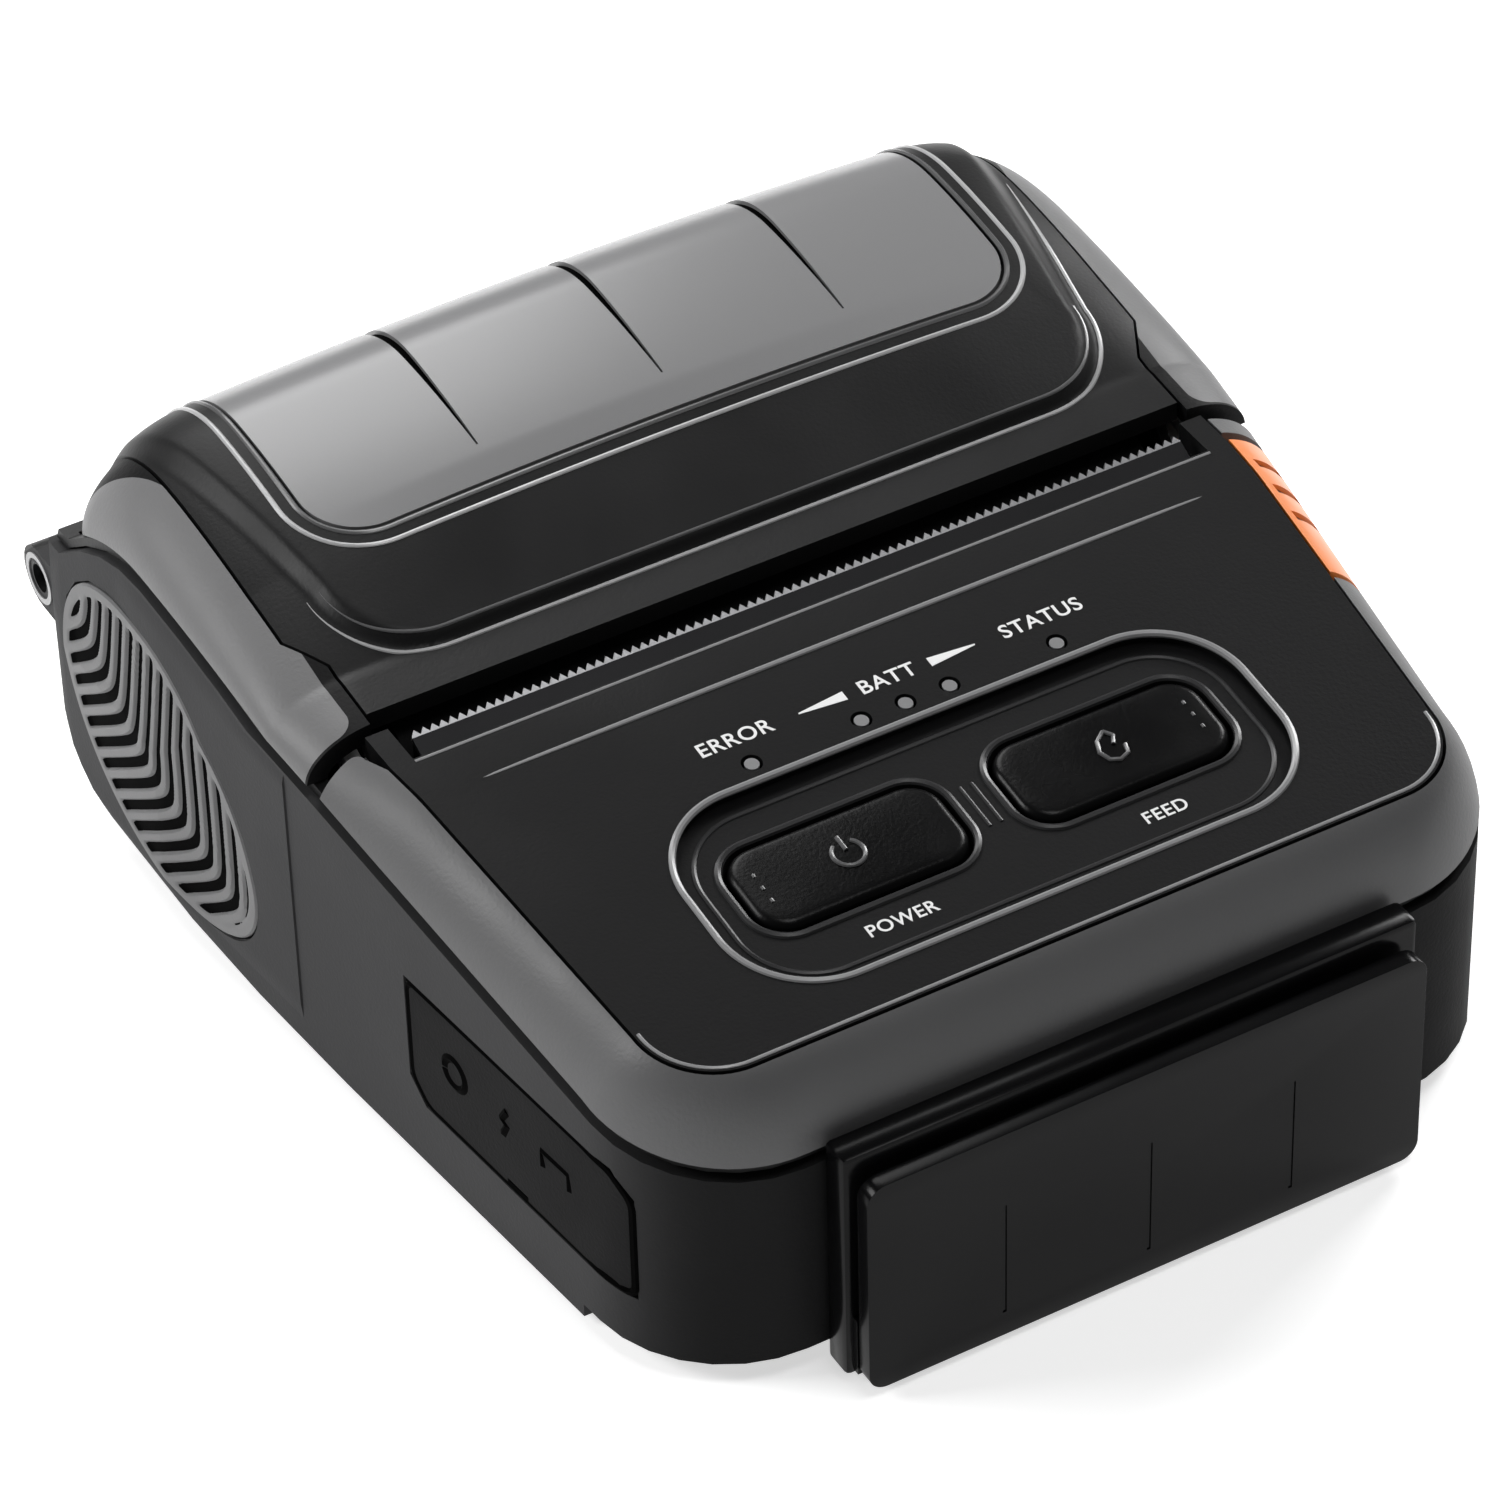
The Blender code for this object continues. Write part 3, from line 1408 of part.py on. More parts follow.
def tear_bar():
    """Toothed steel strip that the paper is torn on."""
    pitch = 2 * tear_bar_half_length / tear_tooth_count
    edge = []
    for i in range(tear_tooth_count):
        x = tear_bar_half_length - pitch * i
        edge += [(x, -tear_tooth_depth), (x - pitch / 2, 0)]
    edge.append((-tear_bar_half_length, -tear_tooth_depth))
    outline = [(-tear_bar_half_length, -tear_bar_width), (tear_bar_half_length, -tear_bar_width)]
    bar = prism("tear_bar", outline + edge, "Z", -tear_bar_thickness, 0, steel)
    bar.data.transform(Matrix.Rotation(tear_bar_tilt, 4, "X"))
    bar.data.transform(Matrix.Translation((0, tear_y, tear_bar_height)))
    return bar


def paper_sensor():
    """Small sensor on the front of the bay, below the platen."""
    rear = roll_y - bay_radius - bay_wall - seat_gap
    return box("paper_sensor", (sensor_offset - sensor_half_width, rear - sensor_depth,
                                sensor_bottom),
               (sensor_offset + sensor_half_width, rear, sensor_top), gloss_black)


def main_board():
    box("main_board", (-board_half_length, tear_y - board_front, board_height),
        (board_half_length, tear_y - board_rear, board_height + board_thickness), board_green)


def socket(name, distance, half, surface):
    """Body of a connector behind the port cover, hung under the main board."""
    y = tear_y - distance
    face = -(half_width(y - half) - port_cover_thickness - socket_setback - fit_gap)
    top = board_height - seat_gap
    body = box(name, (face, y - half, top - socket_height), (face + socket_length, y + half, top),
               surface)
    return body, face, (y, top - socket_height / 2)


def connectors():
    jack, face, centre = socket("charging_jack", jack_distance, jack_half_width, gloss_black)
    cut(jack, rod("jack_bore", jack_bore_radius, "X", face - cut_overrun, face + socket_hole_depth,
                  centre))
    join(jack, rod("jack_pin", jack_pin_radius, "X", face + seat_gap,
                   face + socket_hole_depth + seat_gap, centre, steps=small_steps))
    plug, face, centre = socket("interface_socket", interface_distance, interface_half_width,
                                steel)
    y, z = centre
    cut(plug, box("interface_hole", (face - cut_overrun, y - interface_hole_half_width,
                                     z - socket_hole_half_height),
                  (face + socket_hole_depth, y + interface_hole_half_width,
                   z + socket_hole_half_height)))


def battery():
    """Battery pack that slides out to the right, and the tray and contacts that it plugs into."""
    middle = tear_y - (battery_front + battery_rear) / 2
    pack = box("battery_pack", (-battery_inner_end, tear_y - battery_front, battery_bottom),
               (tall, tear_y - battery_rear, battery_top), dark_rubber)
    common(pack, case_block("battery_end", 0, case_bottom, seam_gap))
    set_origin(pack, (0, middle, battery_bottom))
    end = battery_inner_end + fit_gap
    box("battery_contacts", (-end - contact_thickness, middle - contact_half_width, battery_bottom),
        (-end, middle + contact_half_width, (battery_bottom + battery_top) / 2), white_plastic)
    inner = end + contact_thickness + fit_gap
    front, rear = tear_y - battery_front - fit_gap, tear_y - battery_rear + fit_gap
    top = battery_top + fit_gap
    floor = case_bottom + case_floor + fit_gap
    tray = box("battery_tray", (-inner - tray_wall, front - tray_wall, floor),
               (tray_right_end, rear + tray_wall, top + tray_wall), black_plastic)
    return cut(tray, box("tray_hollow", (-inner, front, floor - cut_overrun),
                         (tray_right_end + cut_overrun, rear, top)))


def port_cover():
    """Soft cover over the two connectors, cut from the left wall and hinged below."""
    cover = case_block("port_cover", 0, case_bottom, seam_gap)
    finish(cover, dark_rubber)
    cut(cover, case_block("cover_inside", port_cover_thickness, -cut_overrun / 2))
    common(cover, prism("cover_outline", port_outline(0, True), "X", -tall, -cut_overrun))
    y = tear_y - (port_front + port_rear) / 2
    x = -half_width(y)
    return set_origin(cover, (x, y, port_bottom + port_hinge_lift))


def grips():
    """Ribbed rubber grip let into each side."""
    for side, name in ((-1, "grip_left"), (1, "grip_right")):
        pad = finish(grip_room(name, side, 0, grip_seat_depth - seat_gap), dark_rubber)
        common(pad, case_block(name + "_skin", -grip_rise, case_bottom, seam_gap))


def card_reader():
    """Swipe reader: a rail against the case, a magnetic head in it and a cover in front."""
    rear = front_y - seat_gap
    slot_rear = rear - reader_rail_depth
    slot_front = slot_rear - reader_slot_width
    rail = box("card_reader_rail", (-reader_half_length, slot_rear, reader_bottom),
               (reader_half_length, rear, reader_rail_height), gloss_black)
    soften(rail, reader_edge)
    join(rail, box("slot_floor", (-reader_cover_half_length, slot_front + seat_gap,
                                  reader_bottom + reader_edge),
                   (reader_cover_half_length, slot_rear + reader_edge, reader_slot_bottom)))
    reach = reader_head_half_length + seat_gap
    cut(rail, box("head_pocket", (-reach, slot_rear - cut_overrun / 2,
                                  reader_head_low - seat_gap),
                  (reach, slot_rear + reader_head_depth + seat_gap, reader_head_high + seat_gap)))
    box("card_reader_head", (-reader_head_half_length, slot_rear - reader_head_reach,
                             reader_head_low),
        (reader_head_half_length, slot_rear + reader_head_depth, reader_head_high), steel)
    cover = box("card_reader_cover", (-reader_cover_half_length, face_y, reader_bottom),
                (reader_cover_half_length, slot_front, reader_cover_height), gloss_black)
    return soften(cover, reader_edge)


lower_case()
base_plate()
feet_and_screws()
seam_gasket()
bezel()
release_lever()
control_panel()
buttons()
light_guide()
switch_board()
lid_cover()
lid_window()
lid_strips()
lid_inner()
hinge_pin()
paper_bay()
gear_train()
platen()
mechanism_frame()
latch()
print_head()
tear_bar()
paper_sensor()
main_board()
connectors()
battery()
port_cover()
grips()
card_reader()
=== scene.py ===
# %% [markdown]
# A pocket receipt printer, dressed for its portrait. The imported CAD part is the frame: its nodes
# stay where they are, and finer skins are laid over the ones that the eye sees most.
# Every size is in metres, +Z is up and -Y is the side with the card reader.

# %% Load the frame
import json
import math

import bmesh
import bpy
from mathutils import Matrix, Vector

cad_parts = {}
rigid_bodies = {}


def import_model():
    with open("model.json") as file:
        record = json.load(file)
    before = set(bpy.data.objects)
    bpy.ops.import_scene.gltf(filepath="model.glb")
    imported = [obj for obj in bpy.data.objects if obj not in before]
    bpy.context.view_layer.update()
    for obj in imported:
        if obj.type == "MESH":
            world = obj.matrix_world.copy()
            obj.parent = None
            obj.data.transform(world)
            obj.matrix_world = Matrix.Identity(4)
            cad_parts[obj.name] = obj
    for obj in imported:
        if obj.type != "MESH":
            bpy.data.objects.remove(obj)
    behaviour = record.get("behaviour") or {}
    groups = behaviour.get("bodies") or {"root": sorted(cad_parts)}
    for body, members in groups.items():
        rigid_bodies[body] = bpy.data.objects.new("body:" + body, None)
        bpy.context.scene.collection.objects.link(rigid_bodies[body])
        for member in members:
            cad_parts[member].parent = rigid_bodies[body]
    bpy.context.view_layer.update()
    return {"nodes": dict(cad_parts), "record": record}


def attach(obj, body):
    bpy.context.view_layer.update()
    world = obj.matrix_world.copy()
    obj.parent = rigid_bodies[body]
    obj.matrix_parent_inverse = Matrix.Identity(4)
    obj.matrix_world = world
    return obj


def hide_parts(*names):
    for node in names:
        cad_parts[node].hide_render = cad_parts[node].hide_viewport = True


for start_object in list(bpy.data.objects):
    bpy.data.objects.remove(start_object, do_unlink=True)
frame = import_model()
nodes = frame["nodes"]

# %% [markdown]
# The printer was seen from its front left and from above, through a long lens. The camera could be
# placed by eye, but its place was measured against the case's corners, so it is given as an
# azimuth, an elevation, a roll and a distance from a point inside the case.

# %% Camera
view_azimuth = math.radians(29.128)
view_elevation = math.radians(40.621)
view_roll = math.radians(-1.645)
view_distance = 0.6495
view_centre = Vector((-0.007996, -0.005454, 0.025))
picture_side = 1500
focal_pixels = 7107.5
forward = Vector((math.sin(view_azimuth) * math.cos(view_elevation),
                  math.cos(view_azimuth) * math.cos(view_elevation), -math.sin(view_elevation)))
camera_data = bpy.data.cameras.new("camera")
camera_data.sensor_width = 36
camera_data.lens = focal_pixels / picture_side * camera_data.sensor_width
camera_data.clip_start, camera_data.clip_end = 0.01, 10
camera = bpy.data.objects.new("camera", camera_data)
bpy.context.scene.collection.objects.link(camera)
camera.matrix_world = (Matrix.Translation(view_centre - forward * view_distance)
                       @ forward.to_track_quat("-Z", "Y").to_matrix().to_4x4()
                       @ Matrix.Rotation(view_roll, 4, "Z"))
bpy.context.scene.camera = camera
print("lens:", round(camera_data.lens, 1), "mm")

# %% [markdown]
# A product picture has a pale sheet under it and large soft lamps, so that dark plastic shows by
# its edges. Area lamps are used because their size sets how soft a highlight is.


# %% Floor and lamps
def plain(name, color, roughness, **values):
    """A material with one colour, whose other values are set straight on the shader."""
    made = bpy.data.materials.new(name)
    made.use_nodes = True
    shader = made.node_tree.nodes["Principled BSDF"]
    shader.inputs["Base Color"].default_value = (*color, 1)
    shader.inputs["Roughness"].default_value = roughness
    for socket, value in values.items():
        shader.inputs[socket.replace("_", " ")].default_value = value
    return made


floor_reach = 3.0
floor_mesh = bpy.data.meshes.new("floor")
floor_mesh.from_pydata([(-floor_reach, -floor_reach, 0), (floor_reach, -floor_reach, 0),
                        (floor_reach, floor_reach, 0), (-floor_reach, floor_reach, 0)], [],
                       [(0, 1, 2, 3)])
floor = bpy.data.objects.new("floor", floor_mesh)
bpy.context.scene.collection.objects.link(floor)
floor.data.materials.append(plain("floor_paper", (0.85, 0.85, 0.85), 0.9, Emission_Strength=0.6))
floor.data.materials[0].node_tree.nodes["Principled BSDF"].inputs["Emission Color"].default_value = (
    1, 1, 1, 1)
world = bpy.data.worlds.new("studio")
world.use_nodes = True
world.node_tree.nodes["Background"].inputs["Color"].default_value = (1, 1, 1, 1)
world.node_tree.nodes["Background"].inputs["Strength"].default_value = 0.1
bpy.context.scene.world = world
bpy.context.scene.view_settings.view_transform = "Standard"


def lamp(name, place, size, watts):
    """A square area lamp that looks at the printer."""
    light = bpy.data.lights.new(name, "AREA")
    light.energy, light.size = watts, size
    obj = bpy.data.objects.new(name, light)
    bpy.context.scene.collection.objects.link(obj)
    obj.location = place
    obj.rotation_mode = "QUATERNION"
    obj.rotation_quaternion = (view_centre - Vector(place)).to_track_quat("-Z", "Y")


lamp("lamp_behind", (0.1, 0.8, 0.75), 0.6, 6)
lamp("lamp_left", (-0.8, 0.45, 0.6), 0.4, 6.5)
lamp("lamp_right", (0.8, 0.35, 0.5), 0.3, 5)
lamp("lamp_above", (0.1, -0.25, 1.0), 0.35, 2.4)
print("lamps:", len(bpy.data.lights))

# %% [markdown]
# Moulded plastic is never quite smooth: the mould leaves a fine grain, and handling leaves duller
# and shinier patches. Both are node groups, so that each plastic has the same grain in its own
# measure. The noise is read in object space, and no picture is needed.


# %% Shared surface effects
grain_scale = 2600
grain_height = 0.0001
patch_low, patch_high = 0.3, 0.7


def new_group(name, inputs, outputs):
    """An empty node group with number inputs and outputs."""
    group = bpy.data.node_groups.new(name, "ShaderNodeTree")
    for title, value in inputs:
        socket = group.interface.new_socket(title, in_out="INPUT", socket_type="NodeSocketFloat")
        socket.default_value = value
    for title in outputs:
        group.interface.new_socket(title, in_out="OUTPUT", socket_type="NodeSocketFloat")
    return group, group.nodes.new("NodeGroupInput"), group.nodes.new("NodeGroupOutput")


def object_noise(group, scale_socket, detail):
    """Noise in object space, whose scale comes from a socket."""
    place = group.nodes.new("ShaderNodeTexCoord")
    noise = group.nodes.new("ShaderNodeTexNoise")
    noise.inputs["Detail"].default_value = detail
    group.links.new(place.outputs["Object"], noise.inputs["Vector"])
    group.links.new(scale_socket, noise.inputs["Scale"])
    return noise.outputs["Fac"]


def spread(group, source, low, high):
    """Map 0 to 1 onto low to high, both given by sockets."""
    mapped = group.nodes.new("ShaderNodeMapRange")
    mapped.interpolation_type = "SMOOTHSTEP"
    mapped.inputs["From Min"].default_value = patch_low
    mapped.inputs["From Max"].default_value = patch_high
    group.links.new(source, mapped.inputs["Value"])
    group.links.new(low, mapped.inputs["To Min"])
    group.links.new(high, mapped.inputs["To Max"])
    return mapped.outputs["Result"]


grain_group, told, given = new_group("mould_grain", [("Scale", grain_scale)], ["Height"])
grain_group.links.new(object_noise(grain_group, told.outputs["Scale"], 3), given.inputs["Height"])
smudge_group, told, given = new_group("handling", [("Scale", 55), ("Dull", 0.5), ("Shiny", 0.4)],
                                      ["Roughness"])
patches = object_noise(smudge_group, told.outputs["Scale"], 4)
smudge_group.links.new(spread(smudge_group, patches, told.outputs["Shiny"], told.outputs["Dull"]),
                       given.inputs["Roughness"])
print("groups:", [g.name for g in bpy.data.node_groups])


# %% [markdown]
# The printer has black and grey plastics with a fine grain, a glossy reader, soft rubber, one orange
# lever, and metals inside. Pictures of surfaces could do it, but even plastic needs only a colour,
# a roughness and grain, so one helper makes them all.

# %% Materials
def moulded(name, color, roughness, grain, spread_by=0.05, scale=grain_scale, **values):
    """A plain material with mould grain in its normal and patches in its roughness."""
    made = plain(name, color, roughness, **values)
    tree = made.node_tree
    shader = tree.nodes["Principled BSDF"]
    patch = tree.nodes.new("ShaderNodeGroup")
    patch.node_tree = smudge_group
    patch.inputs["Dull"].default_value = roughness + spread_by
    patch.inputs["Shiny"].default_value = roughness - spread_by
    tree.links.new(patch.outputs["Roughness"], shader.inputs["Roughness"])
    fine = tree.nodes.new("ShaderNodeGroup")
    fine.node_tree = grain_group
    fine.inputs["Scale"].default_value = scale
    bump = tree.nodes.new("ShaderNodeBump")
    bump.inputs["Strength"].default_value = grain
    bump.inputs["Distance"].default_value = grain_height
    tree.links.new(fine.outputs["Height"], bump.inputs["Height"])
    tree.links.new(bump.outputs["Normal"], shader.inputs["Normal"])
    return made


finishes = {
    "black_plastic": moulded("black_plastic", (0.008, 0.008, 0.0083), 0.42, 0.2, Specular_IOR_Level=0.18),
    "panel_black": moulded("panel_black", (0.005, 0.005, 0.0053), 0.5, 0.3, Specular_IOR_Level=0.1),
    "gloss_black": moulded("gloss_black", (0.003, 0.003, 0.0033), 0.22, 0.03, 0.03,
                           Specular_IOR_Level=0.1),
    # Near-black: painted shade in the window's and grips' grooves and round the port cover; also the port
    # marks.
    "shade_and_mark_black": moulded("shade_and_mark_black", (0.001, 0.001, 0.001), 0.7, 0.1, Specular_IOR_Level=0.01),
    "grey_plastic": moulded("grey_plastic", (0.105, 0.105, 0.107), 0.48, 0.35,
                            Specular_IOR_Level=0.35),
    # A lighter copy of the grey plastic for the lid's strips: painted light.
    "strip_grey_painted_lighter": moulded("strip_grey_painted_lighter", (0.15, 0.15, 0.152), 0.48, 0.35, Specular_IOR_Level=0.35),
    "case_dark": moulded("case_dark", (0.05, 0.05, 0.0512), 0.55, 0.35, Specular_IOR_Level=0.03),
    "window_plastic": moulded("window_plastic", (0.21, 0.21, 0.213), 0.26, 0.04, 0),
    "orange_plastic": moulded("orange_plastic", (0.9, 0.24, 0.04), 0.34, 0.1),
    "orange_painted_shade": moulded("orange_painted_shade", (0.1, 0.022, 0.006), 0.6, 0.1, Specular_IOR_Level=0.2),
    "dark_rubber": moulded("dark_rubber", (0.011, 0.011, 0.0113), 0.6, 0.35, Specular_IOR_Level=0.03),
    "key_rubber": moulded("key_rubber", (0.002, 0.002, 0.0022), 0.28, 0.2, Specular_IOR_Level=0.14),
    "key_mark": moulded("key_mark", (0.1, 0.1, 0.102), 0.3, 0.05),
    "grip_rubber": moulded("grip_rubber", (0.13, 0.13, 0.132), 0.5, 0.15, Specular_IOR_Level=0.4),
    "steel": moulded("steel", (0.62, 0.62, 0.64), 0.28, 0.1, Metallic=1),
    "ground_steel": moulded("ground_steel", (0.36, 0.36, 0.37), 0.35, 0.1, Metallic=1),
    "aluminium": moulded("aluminium", (0.72, 0.73, 0.74), 0.38, 0.2, Metallic=1),
    "board_green": moulded("board_green", (0.015, 0.11, 0.05), 0.4, 0.2),
    "white_plastic": moulded("white_plastic", (0.68, 0.68, 0.66), 0.42, 0.2),
    "clear_guide": moulded("clear_guide", (0.2, 0.2, 0.205), 0.3, 0.02),
    # Near-black steel: painted shade on the tear bar's strip.
    "dark_steel": moulded("dark_steel", (0.02, 0.02, 0.021), 0.45, 0.1, Metallic=1),
    "white_print": moulded("white_print", (0.8, 0.8, 0.8), 0.5, 0.1),
    # Four line finishes, lighter than the black they lie on: painted highlight on rims, beads and rings.
    "painted_highlight": moulded("painted_highlight", (0.26, 0.26, 0.264), 0.22, 0.02),
    "painted_highlight_pale": moulded("painted_highlight_pale", (0.42, 0.42, 0.424), 0.2, 0.02),
    "painted_highlight_faint": moulded("painted_highlight_faint", (0.03, 0.03, 0.031), 0.25, 0.02, Specular_IOR_Level=0.3),
    "painted_highlight_soft": moulded("painted_highlight_soft", (0.1, 0.1, 0.102), 0.2, 0.02)}
print("materials:", len(finishes))


# %% [markdown]
# The case's front catches less light than its sides. The fall could come from a dark card beside the
# lamps; here it is painted shade: the case's colour is darkened towards its front, along its depth,
# which holds from every side.


# %% Painted shade on the case's front
def painted_front_shade(finish, start, length, share):
    """Painted shade: a finish's colour falls to a share over a length ahead of a start, along Y."""
    tree = finish.node_tree
    shader = tree.nodes["Principled BSDF"]
    place, parts = tree.nodes.new("ShaderNodeTexCoord"), tree.nodes.new("ShaderNodeSeparateXYZ")
    fall, tint = tree.nodes.new("ShaderNodeMapRange"), tree.nodes.new("ShaderNodeMix")
    fall.interpolation_type = "SMOOTHSTEP"
    fall.inputs["From Min"].default_value = start - length
    fall.inputs["From Max"].default_value = start
    tint.data_type = "RGBA"
    color = shader.inputs["Base Color"].default_value
    tint.inputs["A"].default_value = (*[part * share for part in color[:3]], 1)
    tint.inputs["B"].default_value = color
    tree.links.new(place.outputs["Object"], parts.inputs["Vector"])
    tree.links.new(parts.outputs["Y"], fall.inputs["Value"])
    tree.links.new(fall.outputs["Result"], tint.inputs["Factor"])
    tree.links.new(tint.outputs["Result"], shader.inputs["Base Color"])


case_front_end = min(v.co.y for v in nodes["lower_case"].data.vertices)
shade_start, shade_length, shade_share = case_front_end + 0.016, 0.014, 0.25
# The lower case's dark plastic gets painted shade over its front.
painted_front_shade(finishes["case_dark"], shade_start, shade_length, shade_share)
print("colour falls over", round(shade_length * 1000), "mm")

# %% [markdown]
# Each CAD node takes the finish of its slot in the record, save three that look otherwise. The CAD's
# corners are only as fine as it needs, so a weld joins the faces' corners, and normals are smoothed
# across gentle bends and kept hard at true edges. Modifiers leave the imported mesh itself alone.

# %% Dress the CAD nodes
# The tear bar's near-black steel is painted shade, and the case's finish carries painted shade on its
# front.
finer_slots = {"control_panel": "panel_black", "lower_case": "case_dark", "tear_bar": "dark_steel"}
smooth_below = math.radians(32)
merge_distance = 0.000002


def softened(obj, width, angle):
    """Round an object's sharp edges, as a mould leaves them."""
    soft = obj.modifiers.new("soft", "BEVEL")
    soft.width, soft.segments = width, 4
    soft.limit_method, soft.angle_limit = "ANGLE", math.radians(angle)
    return obj


def dress(obj, finish_name):
    """Give an object its finish and smooth normals with hard edges."""
    obj.data.materials.clear()
    obj.data.materials.append(finishes[finish_name])
    obj.data.polygons.foreach_set("use_smooth", [True] * len(obj.data.polygons))
    weld = obj.modifiers.new("weld", "WELD")
    weld.merge_threshold = merge_distance
    split = obj.modifiers.new("hard_edges", "EDGE_SPLIT")
    split.split_angle = smooth_below
    return obj


slots = {row["node"]: row["material_slot"] for row in frame["record"]["subparts"]}
for name, node in nodes.items():
    dress(node, finer_slots.get(name, slots[name]))
tub = nodes["lower_case"]
tub.data.materials.append(finishes["black_plastic"])
ear_depth = 0.0059
ear_start = max(v.co.y for v in tub.data.vertices) - ear_depth
for face in tub.data.polygons:
    if min(tub.data.vertices[i].co.y for i in face.vertices) > ear_start:
        face.material_index = 1
print("dressed:", len(slots))

# %% [markdown]
# The skins below are cut from the same named sizes as the CAD, on finer grids. First come the
# helpers: an outline carried along an axis, a rod, a box, and cuts between solids.

# %% Sizes of the case
half_paper = 0.0400
tear_to_face = 0.0593
tear_to_hinge = 0.0593
case_front = 0.0530
case_rear = 0.0555
case_bottom = 0.0009
front_corner_radius = 0.0140
under_radius = 0.0200
side_edge_radius = 0.0030
front_half_width = half_paper + 0.0053
slot_half_width = half_paper + 0.0095
crease_distance = 0.0110
crease_half_width = half_paper + 0.0106
bulge_distance = 0.0300
grip_half_width = half_paper + 0.0124
shoulder_start_height = 0.0200
shoulder_half_width = half_paper + 0.0104
cut_overrun = 0.0100
tall = 0.0700
seat_gap = 0.0003
fit_gap = 0.0004
seam_gap = 0.0016
seam_front_height = 0.0258
seam_slot_height = 0.0350
seam_slot_distance = 0.0020
seam_crest_height = 0.0375
seam_crest_distance = 0.0340
seam_rear_height = 0.0308
seam_rear_distance = 0.0505
print("case", round(2 * grip_half_width * 1000, 1), "mm wide at its grips")

# %% Sizes of the control panel and its keys
panel_plane_height = 0.03978
panel_slope = 0.119
panel_thickness = 0.0024
panel_front = 0.0485
panel_crease = 0.0083
panel_slot_front = 0.0032
panel_ear_end = 0.0016
panel_rear_half_width = half_paper + 0.0041
panel_front_half_width = half_paper + 0.0009
panel_corner_radius = 0.0075
slot_mouth_half_length = half_paper + 0.0018
recess_distance = 0.0320
recess_half_length = 0.0290
recess_half_width = 0.0118
recess_corner_radius = 0.0090
recess_depth = 0.0011
button_distance = 0.0310
button_offset = 0.0136
button_half_length = 0.0108
button_half_width = 0.0050
button_corner_radius = 0.0032
button_sink = 0.0006
button_height = 0.0034
led_distance = 0.0182
led_outer_offset = 0.0159
led_inner_offset = 0.0046
led_radius = 0.0007
switch_board_depth = 0.0062
post_radius = 0.0014
post_offset = 0.0268
post_front = 0.0402
post_rear = 0.0172
print("recess", round(2 * recess_half_length * 1000, 1), "mm long")

# %% Sizes of the bezel and the release lever
bezel_thickness = 0.0018
bezel_rear_end = 0.0008
bezel_fullness = 0.55
bezel_corner_front = 0.0016
lever_front = 0.0222
lever_rear = 0.0028
lever_gap = 0.0008
lever_rib_count = 3
lever_rib_first = 0.0066
lever_pivot_setback = 0.0016
lever_pivot_lift = 0.0012
lever_boss_radius = 0.0013
lever_boss_inset = 0.0030
lever_boss_length = 0.0012
lever_pin_bore = 0.0007
lug_width = 0.0012
print("lever", round((lever_front - lever_rear) * 1000, 1), "mm long")

# %% Sizes of the lid and its hinge
lid_thickness = 0.0020
lid_front = 0.0036
strip_front = 0.0024
lid_front_height = 0.0395
lid_front_rise = 0.0005
lid_step_distance = 0.0080
lid_step_run = 0.0010
lid_step_rise = 0.0012
lid_rise = 0.0068
lid_crest_height = lid_front_height + lid_rise
lid_crest_distance = 0.0390
lid_rear_radius = 0.0140
lid_rear_angle = 1.65
lid_crown = 0.0014
lid_flat_half_width = half_paper - 0.0030
lid_front_flat_half_width = half_paper + 0.0025
lid_plan_corner_radius = 0.0080
lid_curve_power = 1.7
strip_edge_front = half_paper + 0.0028
strip_edge_rear = half_paper + 0.0052
strip_turn_start = 0.0105
strip_turn_end = 0.0150
window_front = 0.0212
window_half_width = half_paper - 0.0030
window_corner_radius = 0.0060
window_rear_angle = 1.05
window_thickness = 0.0009
window_seat_depth = 0.0012
groove_spacing = 0.0195
groove_depth = 0.0005
groove_front = 0.0252
hinge_height = 0.0195
hinge_barrel_radius = 0.0034
hinge_bore_radius = 0.0015
hinge_half_length = half_paper + 0.0100
hinge_lid_half_length = half_paper
leaf_thickness = 0.0020
leaf_gap = 0.0007
print("lid crest", round(lid_crest_height * 1000, 1), "mm up")

# %% Sizes of the port cover and the grips
port_front = 0.0448
port_rear = 0.0120
port_bottom = 0.0086
port_top = 0.0222
port_corner_cut = 0.0024
jack_distance = 0.0190
interface_distance = 0.0345
port_mark_height = 0.0161
door_round = 0.0011


def port_outline():
    """Outline of the port cover in the left wall, as (y, z)."""
    front, rear = tear_y - port_front, tear_y - port_rear
    return [(front, port_bottom), (rear - port_corner_cut, port_bottom),
            (rear, port_bottom + port_corner_cut), (rear, port_top),
            (front + port_corner_cut, port_top), (front, port_top - port_corner_cut)]


grip_distance = 0.0310
grip_height = 0.0179
grip_half_length = 0.0172
grip_half_height = 0.0136
grip_lean = 0.0042
grip_squareness = 2.3
grip_seat_depth = 0.0008
grip_rise = 0.0003
tear_y = (tear_to_face - tear_to_hinge - hinge_barrel_radius) / 2
hinge_y = tear_y + tear_to_hinge
front_y = tear_y - case_front
rear_y = tear_y + case_rear
crest_y = tear_y + lid_crest_distance
taper = (slot_half_width - front_half_width) / (case_front - front_corner_radius)
quarter = math.pi / 2
round_steps = 48
small_steps = 24
corner_steps = 18
both_sides = ((-1, "left"), (1, "right"))
print("tear bar at y", round(tear_y * 1000, 2), "mm")


# %% [markdown]
# The printer's parts are plates, rods and shells with holes in them. They could be drawn by hand in
# edit mode, but outlines carried along an axis and cut from each other keep every size named, and
# always give closed meshes.

# %% Helpers for solids
axis_turns = {
    "X": Matrix(((0, 0, 1), (1, 0, 0), (0, 1, 0))).to_4x4(),
    "Y": Matrix(((1, 0, 0), (0, 0, -1), (0, 1, 0))).to_4x4(),
    "Z": Matrix.Identity(4),
}


